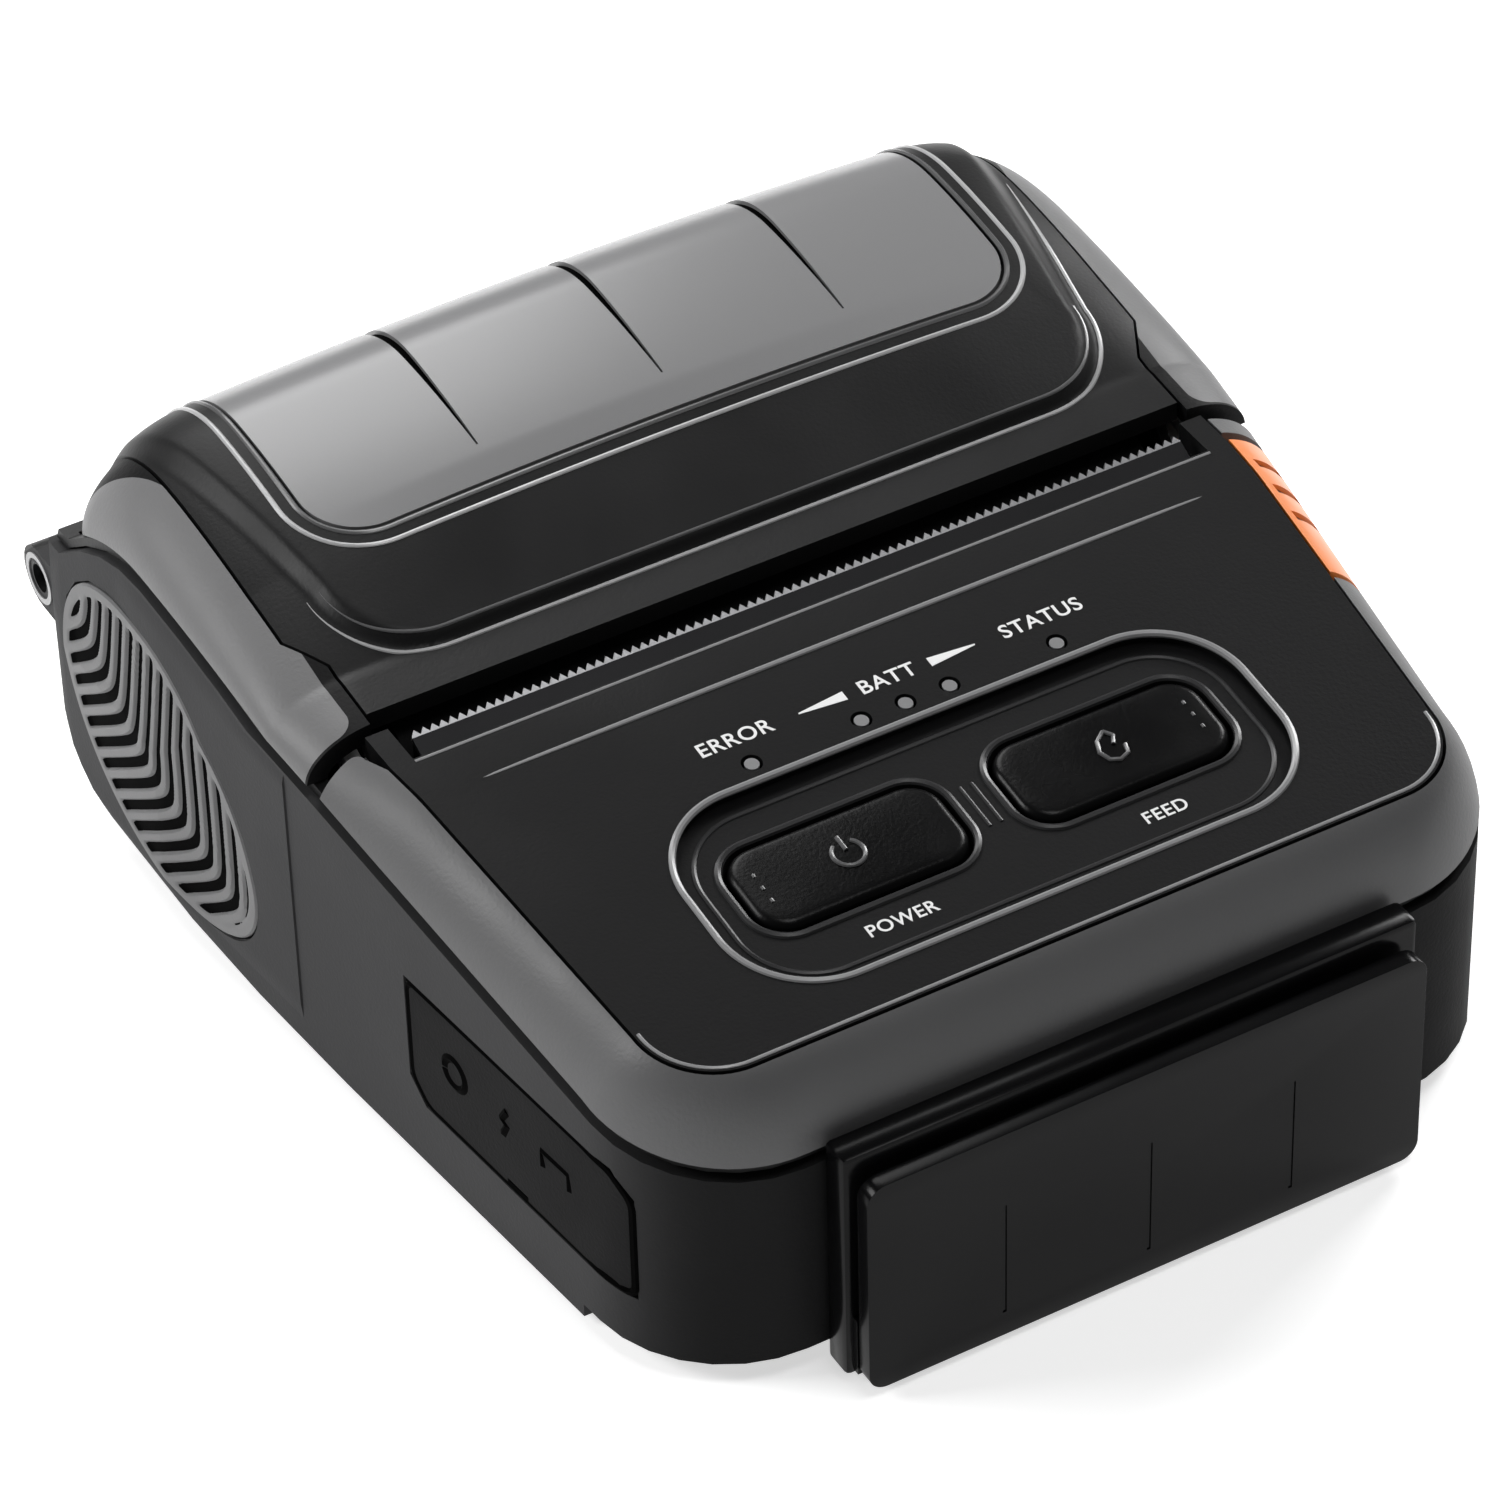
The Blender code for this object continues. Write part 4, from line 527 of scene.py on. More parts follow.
def from_bmesh(name, shape):
    """Turn a bmesh into an object, and free it."""
    mesh = bpy.data.meshes.new(name)
    shape.to_mesh(mesh)
    shape.free()
    obj = bpy.data.objects.new(name, mesh)
    bpy.context.scene.collection.objects.link(obj)
    return obj


def seen_mesh(obj):
    """The mesh that an object shows, with its modifiers or its curve worked out."""
    bpy.context.view_layer.update()
    return bpy.data.meshes.new_from_object(obj.evaluated_get(bpy.context.evaluated_depsgraph_get()))


def box(name, low, high):
    """A block between two opposite corners."""
    low, high = Vector(low), Vector(high)
    shape = bmesh.new()
    bmesh.ops.create_cube(shape, size=1)
    bmesh.ops.scale(shape, vec=high - low, verts=shape.verts)
    bmesh.ops.translate(shape, vec=(low + high) / 2, verts=shape.verts)
    bmesh.ops.recalc_face_normals(shape, faces=shape.faces)
    return from_bmesh(name, shape)


def corners(outline):
    """An outline without doubled points, or points on the line between their neighbours."""
    spots = [spot for i, spot in enumerate(outline) if math.dist(spot, outline[i - 1]) > merge_distance]
    kept = []
    for i, (x, y) in enumerate(spots):
        (ax, ay), (bx, by) = spots[i - 1], spots[(i + 1) % len(spots)]
        if abs((x - ax) * (by - y) - (y - ay) * (bx - x)) > merge_distance ** 2:
            kept.append((x, y))
    return kept


def prism(name, outline, axis, low, high):
    """A flat outline carried along an axis: (y, z) along X, (x, z) along Y, (x, y) along Z."""
    outline = corners(outline)
    curve = bpy.data.curves.new(name, "CURVE")
    curve.dimensions = "2D"
    curve.fill_mode = "BOTH"
    curve.extrude = (high - low) / 2
    spline = curve.splines.new("POLY")
    spline.points.add(len(outline) - 1)
    for point, (across, along) in zip(spline.points, outline):
        point.co = (across, along, 0, 1)
    spline.use_cyclic_u = True
    drawn = bpy.data.objects.new(name + "_curve", curve)
    bpy.context.scene.collection.objects.link(drawn)
    shape = bmesh.new()
    shape.from_mesh(seen_mesh(drawn))
    bpy.data.objects.remove(drawn, do_unlink=True)
    bmesh.ops.remove_doubles(shape, verts=shape.verts, dist=merge_distance)
    middle = (low + high) / 2
    bmesh.ops.translate(shape, vec=(0, 0, -middle if axis == "Y" else middle), verts=shape.verts)
    bmesh.ops.transform(shape, matrix=axis_turns[axis], verts=shape.verts)
    bmesh.ops.recalc_face_normals(shape, faces=shape.faces)
    return from_bmesh(name, shape)


def rod(name, radius, axis, low, high, centre, steps=round_steps):
    """A round bar along an axis, between two places on it, about (y, z), (x, z) or (x, y)."""
    shape = bmesh.new()
    bmesh.ops.create_cone(shape, cap_ends=True, segments=steps, radius1=radius, radius2=radius,
                          depth=high - low)
    middle = (low + high) / 2
    bmesh.ops.translate(shape, vec=(*centre, -middle if axis == "Y" else middle), verts=shape.verts)
    bmesh.ops.transform(shape, matrix=axis_turns[axis], verts=shape.verts)
    return from_bmesh(name, shape)


def frozen(obj):
    """Keep an object's evaluated mesh, with no modifier left on it."""
    mesh = seen_mesh(obj)
    obj.modifiers.clear()
    obj.data = mesh
    return obj


def boolean(target, other, operation):
    """Combine two solids, and delete the second."""
    change = target.modifiers.new(operation.lower(), "BOOLEAN")
    change.operation = operation
    change.object = other
    frozen(target)
    bpy.data.objects.remove(other, do_unlink=True)
    return target


def cut(target, other):
    return boolean(target, other, "DIFFERENCE")


def join(target, other):
    return boolean(target, other, "UNION")


def common(target, other):
    return boolean(target, other, "INTERSECT")


def arc(centre, radius, start, end, count):
    """Points along an arc, both ends included; angles in radians."""
    angles = [start + (end - start) * i / count for i in range(count + 1)]
    return [(centre[0] + radius * math.cos(a), centre[1] + radius * math.sin(a)) for a in angles]


print("turns for axes:", *axis_turns)

# %% [markdown]
# Neighbouring pieces share the case's own lines: its width from above, the curved seam under lid and
# bezel, and the grips' egg shape. Traced splines could hold them, but as functions of the depth they
# meet exactly at any number of steps.


# %% Lines of the case
def grip_outline(grow, steps=round_steps):
    """Egg shape of the side grips, leaning back at its top."""
    outline = []
    for i in range(steps):
        angle = i * 4 * quarter / steps
        c, s = math.cos(angle), math.sin(angle)
        across = math.copysign(abs(c) ** (2 / grip_squareness), c)
        up = math.copysign(abs(s) ** (2 / grip_squareness), s)
        outline.append((tear_y + grip_distance + (grip_half_length + grow) * across + grip_lean * up,
                        grip_height + (grip_half_height + grow) * up))
    return outline


def rounded_box(centre, half_length, half_depth, radius, count=10):
    """Outline of a rectangle with round corners."""
    outline = []
    sides = ((1, 1), (-1, 1), (-1, -1), (1, -1))
    for turn, (side, end) in enumerate(sides):
        middle = (centre[0] + side * (half_length - radius), centre[1] + end * (half_depth - radius))
        outline += arc(middle, radius, turn * quarter, (turn + 1) * quarter, count)
    return outline


def mirrored(right):
    """Close an outline that is given on the right only."""
    return right + [(-x, y) for x, y in reversed(right) if x > 0]


def half_width(y):
    """Half width of the case at its widest height."""
    knots = [(tear_y - case_front + front_corner_radius, front_half_width),
             (tear_y, slot_half_width),
             (tear_y + crease_distance, crease_half_width),
             (tear_y + bulge_distance, grip_half_width)]
    if y <= knots[0][0]:
        return front_half_width
    for (y0, w0), (y1, w1) in zip(knots, knots[1:]):
        if y <= y1:
            return w0 + (w1 - w0) * (y - y0) / (y1 - y0)
    return grip_half_width


def seam(y):
    """Height of the lower edge of the bezel and of the lid, along the case."""
    distance = y - tear_y
    if distance < seam_slot_distance:
        share = (distance + case_front) / (seam_slot_distance + case_front)
        return seam_front_height + (seam_slot_height - seam_front_height) * share
    if distance < seam_crest_distance:
        share = (distance - seam_slot_distance) / (seam_crest_distance - seam_slot_distance)
        return seam_slot_height + (seam_crest_height - seam_slot_height) * (1 - (1 - share) ** 2)
    share = min(1, (distance - seam_crest_distance) / (seam_rear_distance - seam_crest_distance))
    return seam_crest_height - (seam_crest_height - seam_rear_height) * share ** 2


def above_seam(obj):
    """Trim a piece level with the seam."""
    front, rear = front_y - cut_overrun, rear_y + cut_overrun
    slot, crest, last = (tear_y + distance for distance in
                         (seam_slot_distance, seam_crest_distance, seam_rear_distance))
    places = [front] + [slot + (crest - slot) * i / 16 for i in range(17)]
    places += [crest + (last - crest) * i / 16 for i in range(1, 17)] + [rear]
    line = [(y, seam(y)) for y in places]
    return common(obj, prism("seam_trim", line + [(rear, tall), (front, tall)], "X", -tall, tall))


def shell_on_grid(name, columns, rows, spot, thickness):
    """A shell whose outside is a grid of spots, given by column and row."""
    shape = bmesh.new()
    bmesh.ops.create_grid(shape, x_segments=columns - 1, y_segments=rows - 1, size=1)
    for vertex in shape.verts:
        column = round((vertex.co.x + 1) / 2 * (columns - 1))
        row = round((vertex.co.y + 1) / 2 * (rows - 1))
        vertex.co = spot(column, row)
    bmesh.ops.recalc_face_normals(shape, faces=shape.faces)
    shape.normal_update()
    highest = max(shape.faces, key=lambda face: face.calc_center_median().z)
    if highest.normal.z < 0:
        bmesh.ops.reverse_faces(shape, faces=shape.faces)
    obj = from_bmesh(name, shape)
    wall = obj.modifiers.new("wall", "SOLIDIFY")
    wall.thickness = thickness
    wall.offset = -1
    wall.use_even_offset = True
    return frozen(obj)


print("seam crest", round(seam(tear_y + seam_crest_distance) * 1000, 1), "mm up")

# %% [markdown]
# A piece moves with the part that it sits on. It could be parented by hand; here one helper gives it
# its finish and body, and hides the node that it stands for. Another sweeps a round bead along
# a path, for the printer's fine rims and lines.


# %% Fit a piece to its body
def fit(obj, finish_name, body, slot_name, *stands_for):
    """Dress a piece, let it ride on its body, and hide the nodes that it stands for."""
    dress(obj, finish_name)
    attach(obj, body)
    if stands_for:
        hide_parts(*stands_for)
    return obj


def sweep(name, path, radii, closed=False, sides=10):
    """A round bead along a path, with one radius for each of its points."""
    shape = bmesh.new()
    rings = []
    count = len(path)
    for i, point in enumerate(path):
        before = path[i - 1] if i or closed else path[i]
        after = path[(i + 1) % count] if i + 1 < count or closed else path[i]
        along = (after - before).normalized()
        across = along.cross(Vector((0, 0, 1))).normalized()
        up = across.cross(along)
        ring = []
        for j in range(sides):
            angle = j * 4 * quarter / sides
            ring.append(shape.verts.new(point + (across * math.cos(angle)
                                                 + up * math.sin(angle)) * radii[i]))
        rings.append(ring)
    for i in range(count if closed else count - 1):
        a, b = rings[i], rings[(i + 1) % count]
        for j in range(sides):
            k = (j + 1) % sides
            shape.faces.new((a[j], a[k], b[k], b[j]))
    if not closed:
        shape.faces.new(rings[0])
        shape.faces.new(rings[-1])
    bmesh.ops.recalc_face_normals(shape, faces=shape.faces)
    return from_bmesh(name, shape)


print("fitting helpers ready")

# %% [markdown]
# The lid is a hood with a raised back: a step crosses it behind the paper slot and turns back at
# both ends in a round corner. One function gives the height of any point, so hood, window and
# strips follow the same skin. A subdivided cage could do it too, but a height written as a
# function stays exact where pieces meet.

# %% The lid's skin
lid_rows = 40
hood_columns, window_columns, strip_columns = 201, 81, 31
step_zone = 0.013
step_rows = 44
step_half_width = 0.0412
step_corner_radius = 0.0095
step_flare = 0.16
step_side_run = 0.0014


def lid_slope(y):
    """Height of the lid in front of its crest, and its share of the crown."""
    distance = y - tear_y
    step_end = lid_step_distance + lid_step_run
    front_top = lid_front_height + lid_front_rise
    if distance <= lid_step_distance:
        share = (distance - lid_front) / (lid_step_distance - lid_front)
        return lid_front_height + lid_front_rise * share, 0
    if distance < step_end:
        return front_top + lid_step_rise * (distance - lid_step_distance) / lid_step_run, 0
    share = min(1, (distance - step_end) / (lid_crest_distance - step_end))
    start = front_top + lid_step_rise
    height = start + (lid_crest_height - start) * (1 - (1 - share) ** lid_curve_power)
    return height, min(1, share * 2)


def lid_stations(front, rear_angle, inset=0):
    """Stations (y, height, crown) from a front place to an angle round the rear arc."""
    step = tear_y + lid_step_distance
    places = [front]
    if front < step:
        places += [front + (step - front) * i / 8 for i in range(1, 9)]
        places += [step + step_zone * i / step_rows for i in range(1, step_rows + 1)]
    last = places[-1]
    places += [last + (crest_y - last) * i / lid_rows for i in range(1, lid_rows + 1)]
    stations = []
    for y in places:
        height, crowning = lid_slope(y)
        stations.append((y, height - inset, crowning))
    radius = lid_rear_radius - inset
    for i in range(1, lid_rows + 1):
        angle = rear_angle * i / lid_rows
        height = lid_crest_height - lid_rear_radius + radius * math.cos(angle)
        stations.append((crest_y + radius * math.sin(angle), height, max(0, math.cos(angle))))
    return stations


def lid_seam_half_width(y):
    """Half width of the lid at the seam, with its round rear corners."""
    wide = min(half_width(y), shoulder_half_width)
    corner = crest_y + lid_rear_radius - lid_plan_corner_radius
    if y > corner:
        reach = max(0, lid_plan_corner_radius ** 2 - (y - corner) ** 2)
        wide -= lid_plan_corner_radius - math.sqrt(reach)
    return wide


def lid_flat(y):
    """Half width of the lid's top, where its shoulder starts."""
    share = (y - tear_y - lid_front) / (window_front - lid_front)
    share = min(1, max(0, share))
    return lid_front_flat_half_width + (lid_flat_half_width - lid_front_flat_half_width) * share


def shoulder_end(y, inset):
    return max(lid_seam_half_width(y), lid_flat(y) + lid_thickness) - inset


def strip_edge(y):
    """Place along X where the black cover ends and the grey strip starts."""
    share = (y - tear_y - strip_turn_start) / (strip_turn_end - strip_turn_start)
    edge = strip_edge_front + (strip_edge_rear - strip_edge_front) * min(1, max(0, share))
    return min(edge, lid_seam_half_width(y) - lid_thickness)


def ramp(share):
    """A soft rise from 0 to 1."""
    share = min(1, max(0, share))
    return share * share * (3 - 2 * share)


def step_share(x, past):
    """Share of the step's rise at a place: a plateau with round front corners and soft sides."""
    side = step_half_width + step_flare * max(0, past - step_corner_radius) - abs(x)
    if side < step_corner_radius and past < step_corner_radius:
        inside = step_corner_radius - math.hypot(step_corner_radius - side,
                                                 step_corner_radius - past)
    else:
        inside = min(side, past)
    beside = max(0, past) / (max(0, past) + max(0, side) + seat_gap)
    return ramp(inside / (lid_step_run + step_side_run * beside))


def lid_spot(station, reach, inset):
    """A point of the lid; reach is 0 to 1 over its top and 1 to 2 round its shoulder."""
    y, top, crowning = station
    flat, wide = lid_flat(y), shoulder_end(y, inset)
    side = -1 if reach < 0 else 1
    reach = abs(reach)
    angle = max(0, reach - 1) * quarter
    x = reach * flat if reach <= 1 else flat + (wide - flat) * math.sin(angle)
    past = y - tear_y - lid_step_distance
    plain_rise = min(1, max(0, past / lid_step_run))
    top += lid_step_rise * (step_share(x, past) - plain_rise)
    if reach <= 1:
        return side * x, y, top + lid_crown * crowning * (1 - reach ** 2)
    low = min(seam(y), top) - seat_gap
    return side * x, y, low + (top - low) * math.cos(angle)


def reach_at(y, x, inset):
    """Reach of the lid's section at a place along X."""
    flat, wide = lid_flat(y), shoulder_end(y, inset)
    if x <= flat:
        return x / flat
    return 1 + math.asin(min(1, (x - flat) / (wide - flat))) / quarter


print("step rises", round(lid_step_rise * 1000, 1), "mm")


# %% Sheets over the lid
def closed_sheet(name, outside, inside):
    """A closed sheet between two grids of points that match row by row."""
    shape = bmesh.new()
    faces = []
    grids = [[[shape.verts.new(p) for p in row] for row in grid] for grid in (outside, inside)]
    rows, columns = len(outside), len(outside[0])
    for grid in grids:
        for a, b in zip(grid, grid[1:]):
            faces += [(a[i], a[i + 1], b[i + 1], b[i]) for i in range(columns - 1)]
    top, under = grids
    for i in range(columns - 1):
        for row in (0, rows - 1):
            faces.append((top[row][i], top[row][i + 1], under[row][i + 1], under[row][i]))
    for j in range(rows - 1):
        for end in (0, columns - 1):
            faces.append((top[j][end], top[j + 1][end], under[j + 1][end], under[j][end]))
    for face in faces:
        shape.faces.new(face)
    bmesh.ops.recalc_face_normals(shape, faces=shape.faces)
    return from_bmesh(name, shape)


def lid_patch(name, front, rear_angle, ends, columns, inset, thickness):
    """A sheet over part of the lid; ends gives the two reaches between which it lies, by y."""
    grids = []
    for depth in (inset, inset + thickness):
        grid = []
        for station in lid_stations(front, rear_angle, depth):
            start, end = ends(station[0])
            reaches = [start + (end - start) * i / (columns - 1) for i in range(columns)]
            grid.append([lid_spot(station, reach, depth) for reach in reaches])
        grids.append(grid)
    return closed_sheet(name, *grids)


def window_patch(name, front, grow, inset, thickness):
    """A shell over the window's part of the lid, from somewhat in front of it."""

    def ends(y):
        edge = reach_at(y, window_half_width + 2 * seat_gap, inset)
        return -edge, edge

    return lid_patch(name, tear_y + front - lid_front, window_rear_angle + grow / lid_rear_radius,
                     ends, window_columns, inset, thickness)


def window_plan(grow):
    """Outline of the window from above, with round front corners."""
    front = tear_y + window_front - grow
    half = window_half_width + grow
    radius = window_corner_radius + grow
    right = [(0, front)] + arc((half - radius, front + radius), radius, -quarter, 0, 16)
    right += [(half, rear_y + cut_overrun), (0, rear_y + cut_overrun)]
    return mirrored(right)


def strip_room(name, side, grow):
    """The room outwards of the line between the cover and one grey strip."""
    turns = (0, strip_turn_start, strip_turn_end)
    places = [tear_y + distance for distance in turns]
    places += [y for y, _, _ in lid_stations(tear_y + window_front, quarter)]
    line = [(side * (strip_edge(y) + grow), y) for y in places]
    line += [(line[-1][0], rear_y + tall), (side * tall, rear_y + tall), (side * tall, places[0])]
    return prism(name, line, "Z", -cut_overrun, tall)


print("step at", round(lid_step_distance * 1000, 1), "mm behind the tear bar")


# %% [markdown]
# Hood, window and strips are three mouldings on the real lid, with fine gaps between them. One mesh
# with three materials would be quicker, but only separate shells show those gaps. The hood carries
# the seat of the window, and the leaf and barrel of the hinge.


# %% Hood
def lid_cover():
    """Black hood of the lid, with the leaf and barrel of its hinge behind."""

    def ends(y):
        edge = reach_at(y, strip_edge(y) + lid_thickness, 0)
        return -edge, edge

    cover = above_seam(lid_patch("hood", tear_y + lid_front, lid_rear_angle, ends, hood_columns,
                                 0, lid_thickness))
    for side in (-1, 1):
        cut(cover, strip_room("strip_line", side, 0))
    seat = window_patch("window_seat", window_front, seat_gap, -window_seat_depth,
                        2 * window_seat_depth)
    common(seat, prism("seat_outline", window_plan(seat_gap), "Z", -tall, tall))
    cut(cover, seat)
    lap = lid_crest_height - lid_rear_radius
    rear = crest_y + lid_rear_radius
    bridge = seam_rear_height + seat_gap
    inside = rear - lid_thickness * 3 / 4
    inner = [(inside, bridge), (rear + leaf_gap, bridge),
             (rear_y + leaf_gap, case_bottom + under_radius), (hinge_y, hinge_height)]
    outer = [(hinge_y + leaf_thickness / 2, hinge_height + leaf_thickness),
             (rear + leaf_gap + leaf_thickness, bridge + leaf_thickness / 2),
             (rear, lap + leaf_thickness), (inside, lap + leaf_thickness)]
    leaf = prism("lid_leaf", inner + outer, "X", -hinge_lid_half_length, hinge_lid_half_length)
    join(leaf, rod("lid_barrel", hinge_barrel_radius, "X", -hinge_lid_half_length,
                   hinge_lid_half_length, (hinge_y, hinge_height)))
    join(cover, leaf)
    reach = hinge_lid_half_length + cut_overrun
    cut(cover, rod("lid_bore", hinge_bore_radius, "X", -reach, reach, (hinge_y, hinge_height),
                   steps=small_steps))
    return cover


fit(lid_cover(), "black_plastic", "lid", "black_plastic", "lid_cover")


# %% Window and shoulder strips
def copied(obj, name):
    """A second object with its own copy of a mesh."""
    twin = obj.copy()
    twin.data = obj.data.copy()
    twin.name = name
    bpy.context.scene.collection.objects.link(twin)
    return twin


shade_rise = 0.0001
strip_end_inset = 0.0016
strip_turn_out = 0.0062
strip_turn_before = 0.010
strip_turn_step = 0.0022
strip_turn_steps = 10
strip_end_setback = 0.0003
strip_end_radius = 0.0018
groove_front_width = 0.0002
groove_rear_width = 0.0018


def groove_span(x):
    """A groove's outline from above, which widens towards the rear."""
    front, rear = tear_y + groove_front, tear_y + tear_to_hinge
    outline = [(x - groove_front_width / 2, front), (x + groove_front_width / 2, front),
               (x + groove_rear_width / 2, rear), (x - groove_rear_width / 2, rear)]
    return prism("groove_span", outline, "Z", 0, tall)


def lid_window():
    """Pale window over the paper, with three grooves down it."""
    window = window_patch("window_pane", window_front, 0, 0, window_thickness)
    common(window, prism("window_outline", window_plan(0), "Z", -tall, tall))
    for x in (-groove_spacing, 0, groove_spacing):
        groove = window_patch("groove", groove_front, seat_gap, -groove_depth, 2 * groove_depth)
        common(groove, groove_span(x))
        cut(window, groove)
    return window


def lid_strips():
    """Grey strips down the lid's two shoulders."""
    def right(y):
        return reach_at(y, strip_edge(y) - lid_thickness, 0), 2

    def left(y):
        return -2, -reach_at(y, strip_edge(y) - lid_thickness, 0)

    for side, name, ends in ((-1, "shoulder_strip_left", left), (1, "shoulder_strip_right", right)):
        strip = above_seam(lid_patch(name, tear_y + strip_front, lid_rear_angle, ends,
                                     strip_columns, 0, lid_thickness))
        common(strip, strip_room("strip_span", side, seat_gap))
        cap = copied(strip, name.replace("strip", "cap"))
        inner, front = strip_edge_front + strip_end_inset, tear_y + strip_front + strip_end_setback
        round_corner = arc((inner + strip_end_radius, front + strip_end_radius), strip_end_radius,
                           2 * quarter, 3 * quarter, 12)
        turn = [(inner + strip_turn_out * i * i / strip_turn_steps ** 2,
                 crest_y - strip_turn_before + strip_turn_step * i)
                for i in range(strip_turn_steps + 1)]
        kept = [(tall, rear_y + tall), (turn[-1][0], rear_y + tall)] + turn[::-1] + round_corner
        kept += [(tall, front)]
        room = prism("strip_end", [(side * x, y) for x, y in kept], "Z", -cut_overrun, tall)
        cut(cap, copied(room, "strip_end_again"))
        common(strip, room)
        # The strip takes the lighter copy of the grey plastic: painted light.
        fit(strip, "strip_grey_painted_lighter", "lid", "grey_plastic", name.replace("shoulder", "lid"))
        fit(cap, "panel_black", "lid", "black_plastic")


fit(lid_window(), "window_plastic", "lid", "window_plastic", "lid_window")
for number, x in enumerate((-groove_spacing, 0, groove_spacing)):
    shade = window_patch(f"groove_shade_{number}", groove_front + seat_gap, 0,
                         groove_depth - shade_rise, 2 * shade_rise)
    common(shade, groove_span(x))
    fit(shade, "shade_and_mark_black", "lid", "window_plastic")
lid_strips()

# %% [markdown]
# A moulded edge is rounded, and on black plastic that thin round is what shines. The rims of the
# window and of the panel's recess are beads, swept along the outlines that the cutters used. Their
# pale colours add painted highlight to the real shine of each round bead.


# %% Rims that shine, with painted highlight
rim_rear_steps, rim_side_steps, front_steps = 30, 24, 20
rim_grow, frame_grow, rim_radius = 0.0006, 0.0021, 0.0003
rim_sunk_share, bead_sunk_share = 0.45, 0.3
fade_steps, fade_start = 14, 3
thinnest = 0.00004


def lid_height(x, y):
    """Height of the lid's skin above a place in front of its crest."""
    top, crowning = lid_slope(y)
    return lid_spot((y, top, crowning), reach_at(y, abs(x), 0), 0)[2]


def window_rim(name, grow, radius):
    """A bead round the window: down one side of the rear, round the front and back."""
    half = window_half_width + grow
    front, corner = tear_y + window_front - grow, window_corner_radius + grow
    plan = arc((half - corner, front + corner), corner, 0, -quarter, 16)
    plan += [((half - corner) * i / front_steps, front) for i in reversed(range(front_steps))]
    side = []
    for i in range(rim_rear_steps):
        angle = window_rear_angle * (1 - i / rim_rear_steps)
        arc_height = lid_crest_height - lid_rear_radius + lid_rear_radius * math.cos(angle)
        y = crest_y + lid_rear_radius * math.sin(angle)
        side.append(Vector(lid_spot((y, arc_height, max(0, math.cos(angle))),
                                    reach_at(y, half, 0), 0)))
    for i in range(rim_side_steps):
        y = crest_y + (front + corner - crest_y) * i / rim_side_steps
        side.append(Vector((half, y, lid_height(half, y))))
    side += [Vector((x, y, lid_height(x, y))) for x, y in plan]
    path = side + [Vector((-p.x, p.y, p.z)) for p in reversed(side[:-1])]
    path = [p - Vector((0, 0, radius * rim_sunk_share)) for p in path]
    return sweep(name, path, [radius] * len(path))


def lid_bead(name, places, radii):
    """A bead laid on the lid through places (x, y)."""
    path = [Vector((x, y, lid_height(x, y) - radius * bead_sunk_share))
            for (x, y), radius in zip(places, radii)]
    return sweep(name, path, radii, False, 8)


def step_contour(inside, side_run, side_count):
    """Right half of the step's outline from above, from its side to the middle of its front."""
    foot_y = tear_y + lid_step_distance
    middle = (step_half_width - step_corner_radius, foot_y + step_corner_radius)
    places = []
    for i in range(side_count):
        past = side_run * (1 - i / side_count)
        places.append((step_half_width - inside + step_flare * past, middle[1] + past))
    places += arc(middle, step_corner_radius - inside, 0, -quarter, front_steps)
    places += [(middle[0] * i / front_steps, foot_y + inside) for i in reversed(range(front_steps))]
    return places


# The rims and step lines are lighter than the hood: painted highlight over each bead's real shine.
fit(window_rim("window_rim", rim_grow, rim_radius), "painted_highlight_soft", "lid", "black_plastic")
fit(window_rim("window_frame_line", frame_grow, rim_radius), "painted_highlight_pale", "lid", "black_plastic")
step_lines = (("step_foot_line", -0.0002, 0.019, 0.00026, "painted_highlight_pale"),
              ("step_brow_line", 0.0011, 0.0004, 0.0002, "painted_highlight_soft"))
for name, inside, side_run, radius, finish in step_lines:
    half = step_contour(inside, side_run, front_steps)
    left = [(-x, y) for x, y in step_contour(inside, 0.0, 1)[:-1]]
    places = half + left[::-1]
    count = len(places)
    fades = [min(1, (count - 1 - i) / fade_steps, (i + fade_start) / fade_steps) for i in range(count)]
    radii = [max(thinnest, radius * fade) for fade in fades]
    fit(lid_bead(name, places, radii), finish, "lid", "black_plastic")
print("window rims and step lines ready")

# %% [markdown]
# The control panel is a flat slope with a level strip behind its crease, a sunk recess for the keys
# and holes for the lamps. It could be bent by hand; lifting a flat plate onto a height function
# keeps the holes round and the crease sharp.


# %% Control panel
def plane_height(y):
    return panel_plane_height + panel_slope * (y - tear_y)


def panel_height(y):
    """Height of the control panel's top: a slope, then level behind its crease."""
    return min(plane_height(y), plane_height(tear_y - panel_crease))


def laid_on_panel(obj):
    """Lift a piece that was made about height zero onto the panel's slope."""
    shape = bmesh.new()
    shape.from_mesh(obj.data)
    bmesh.ops.bisect_plane(shape, geom=shape.verts[:] + shape.edges[:] + shape.faces[:],
                           plane_co=(0, tear_y - panel_crease, 0), plane_no=(0, 1, 0))
    bmesh.ops.triangulate(shape, faces=shape.faces[:])
    for vertex in shape.verts:
        vertex.co.z += panel_height(vertex.co.y)
    shape.to_mesh(obj.data)
    shape.free()
    return obj


def panel_plan(grow):
    """Outline of the control panel from above, with ears beside the paper slot."""
    front = tear_y - panel_front - grow
    radius = panel_corner_radius + grow
    corner = (panel_front_half_width + grow - radius, front + radius)
    rear_half = panel_rear_half_width + grow
    right = [(0, front)] + arc(corner, radius, -quarter, 0, 16)
    right += [(rear_half, tear_y - panel_slot_front), (rear_half, tear_y + panel_ear_end),
              (slot_mouth_half_length, tear_y + panel_ear_end),
              (slot_mouth_half_length, tear_y - panel_slot_front),
              (0, tear_y - panel_slot_front)]
    return mirrored(right)


def button_outline(side, grow):
    return rounded_box((side * button_offset, tear_y - button_distance), button_half_length + grow,
                       button_half_width + grow, button_corner_radius + grow)


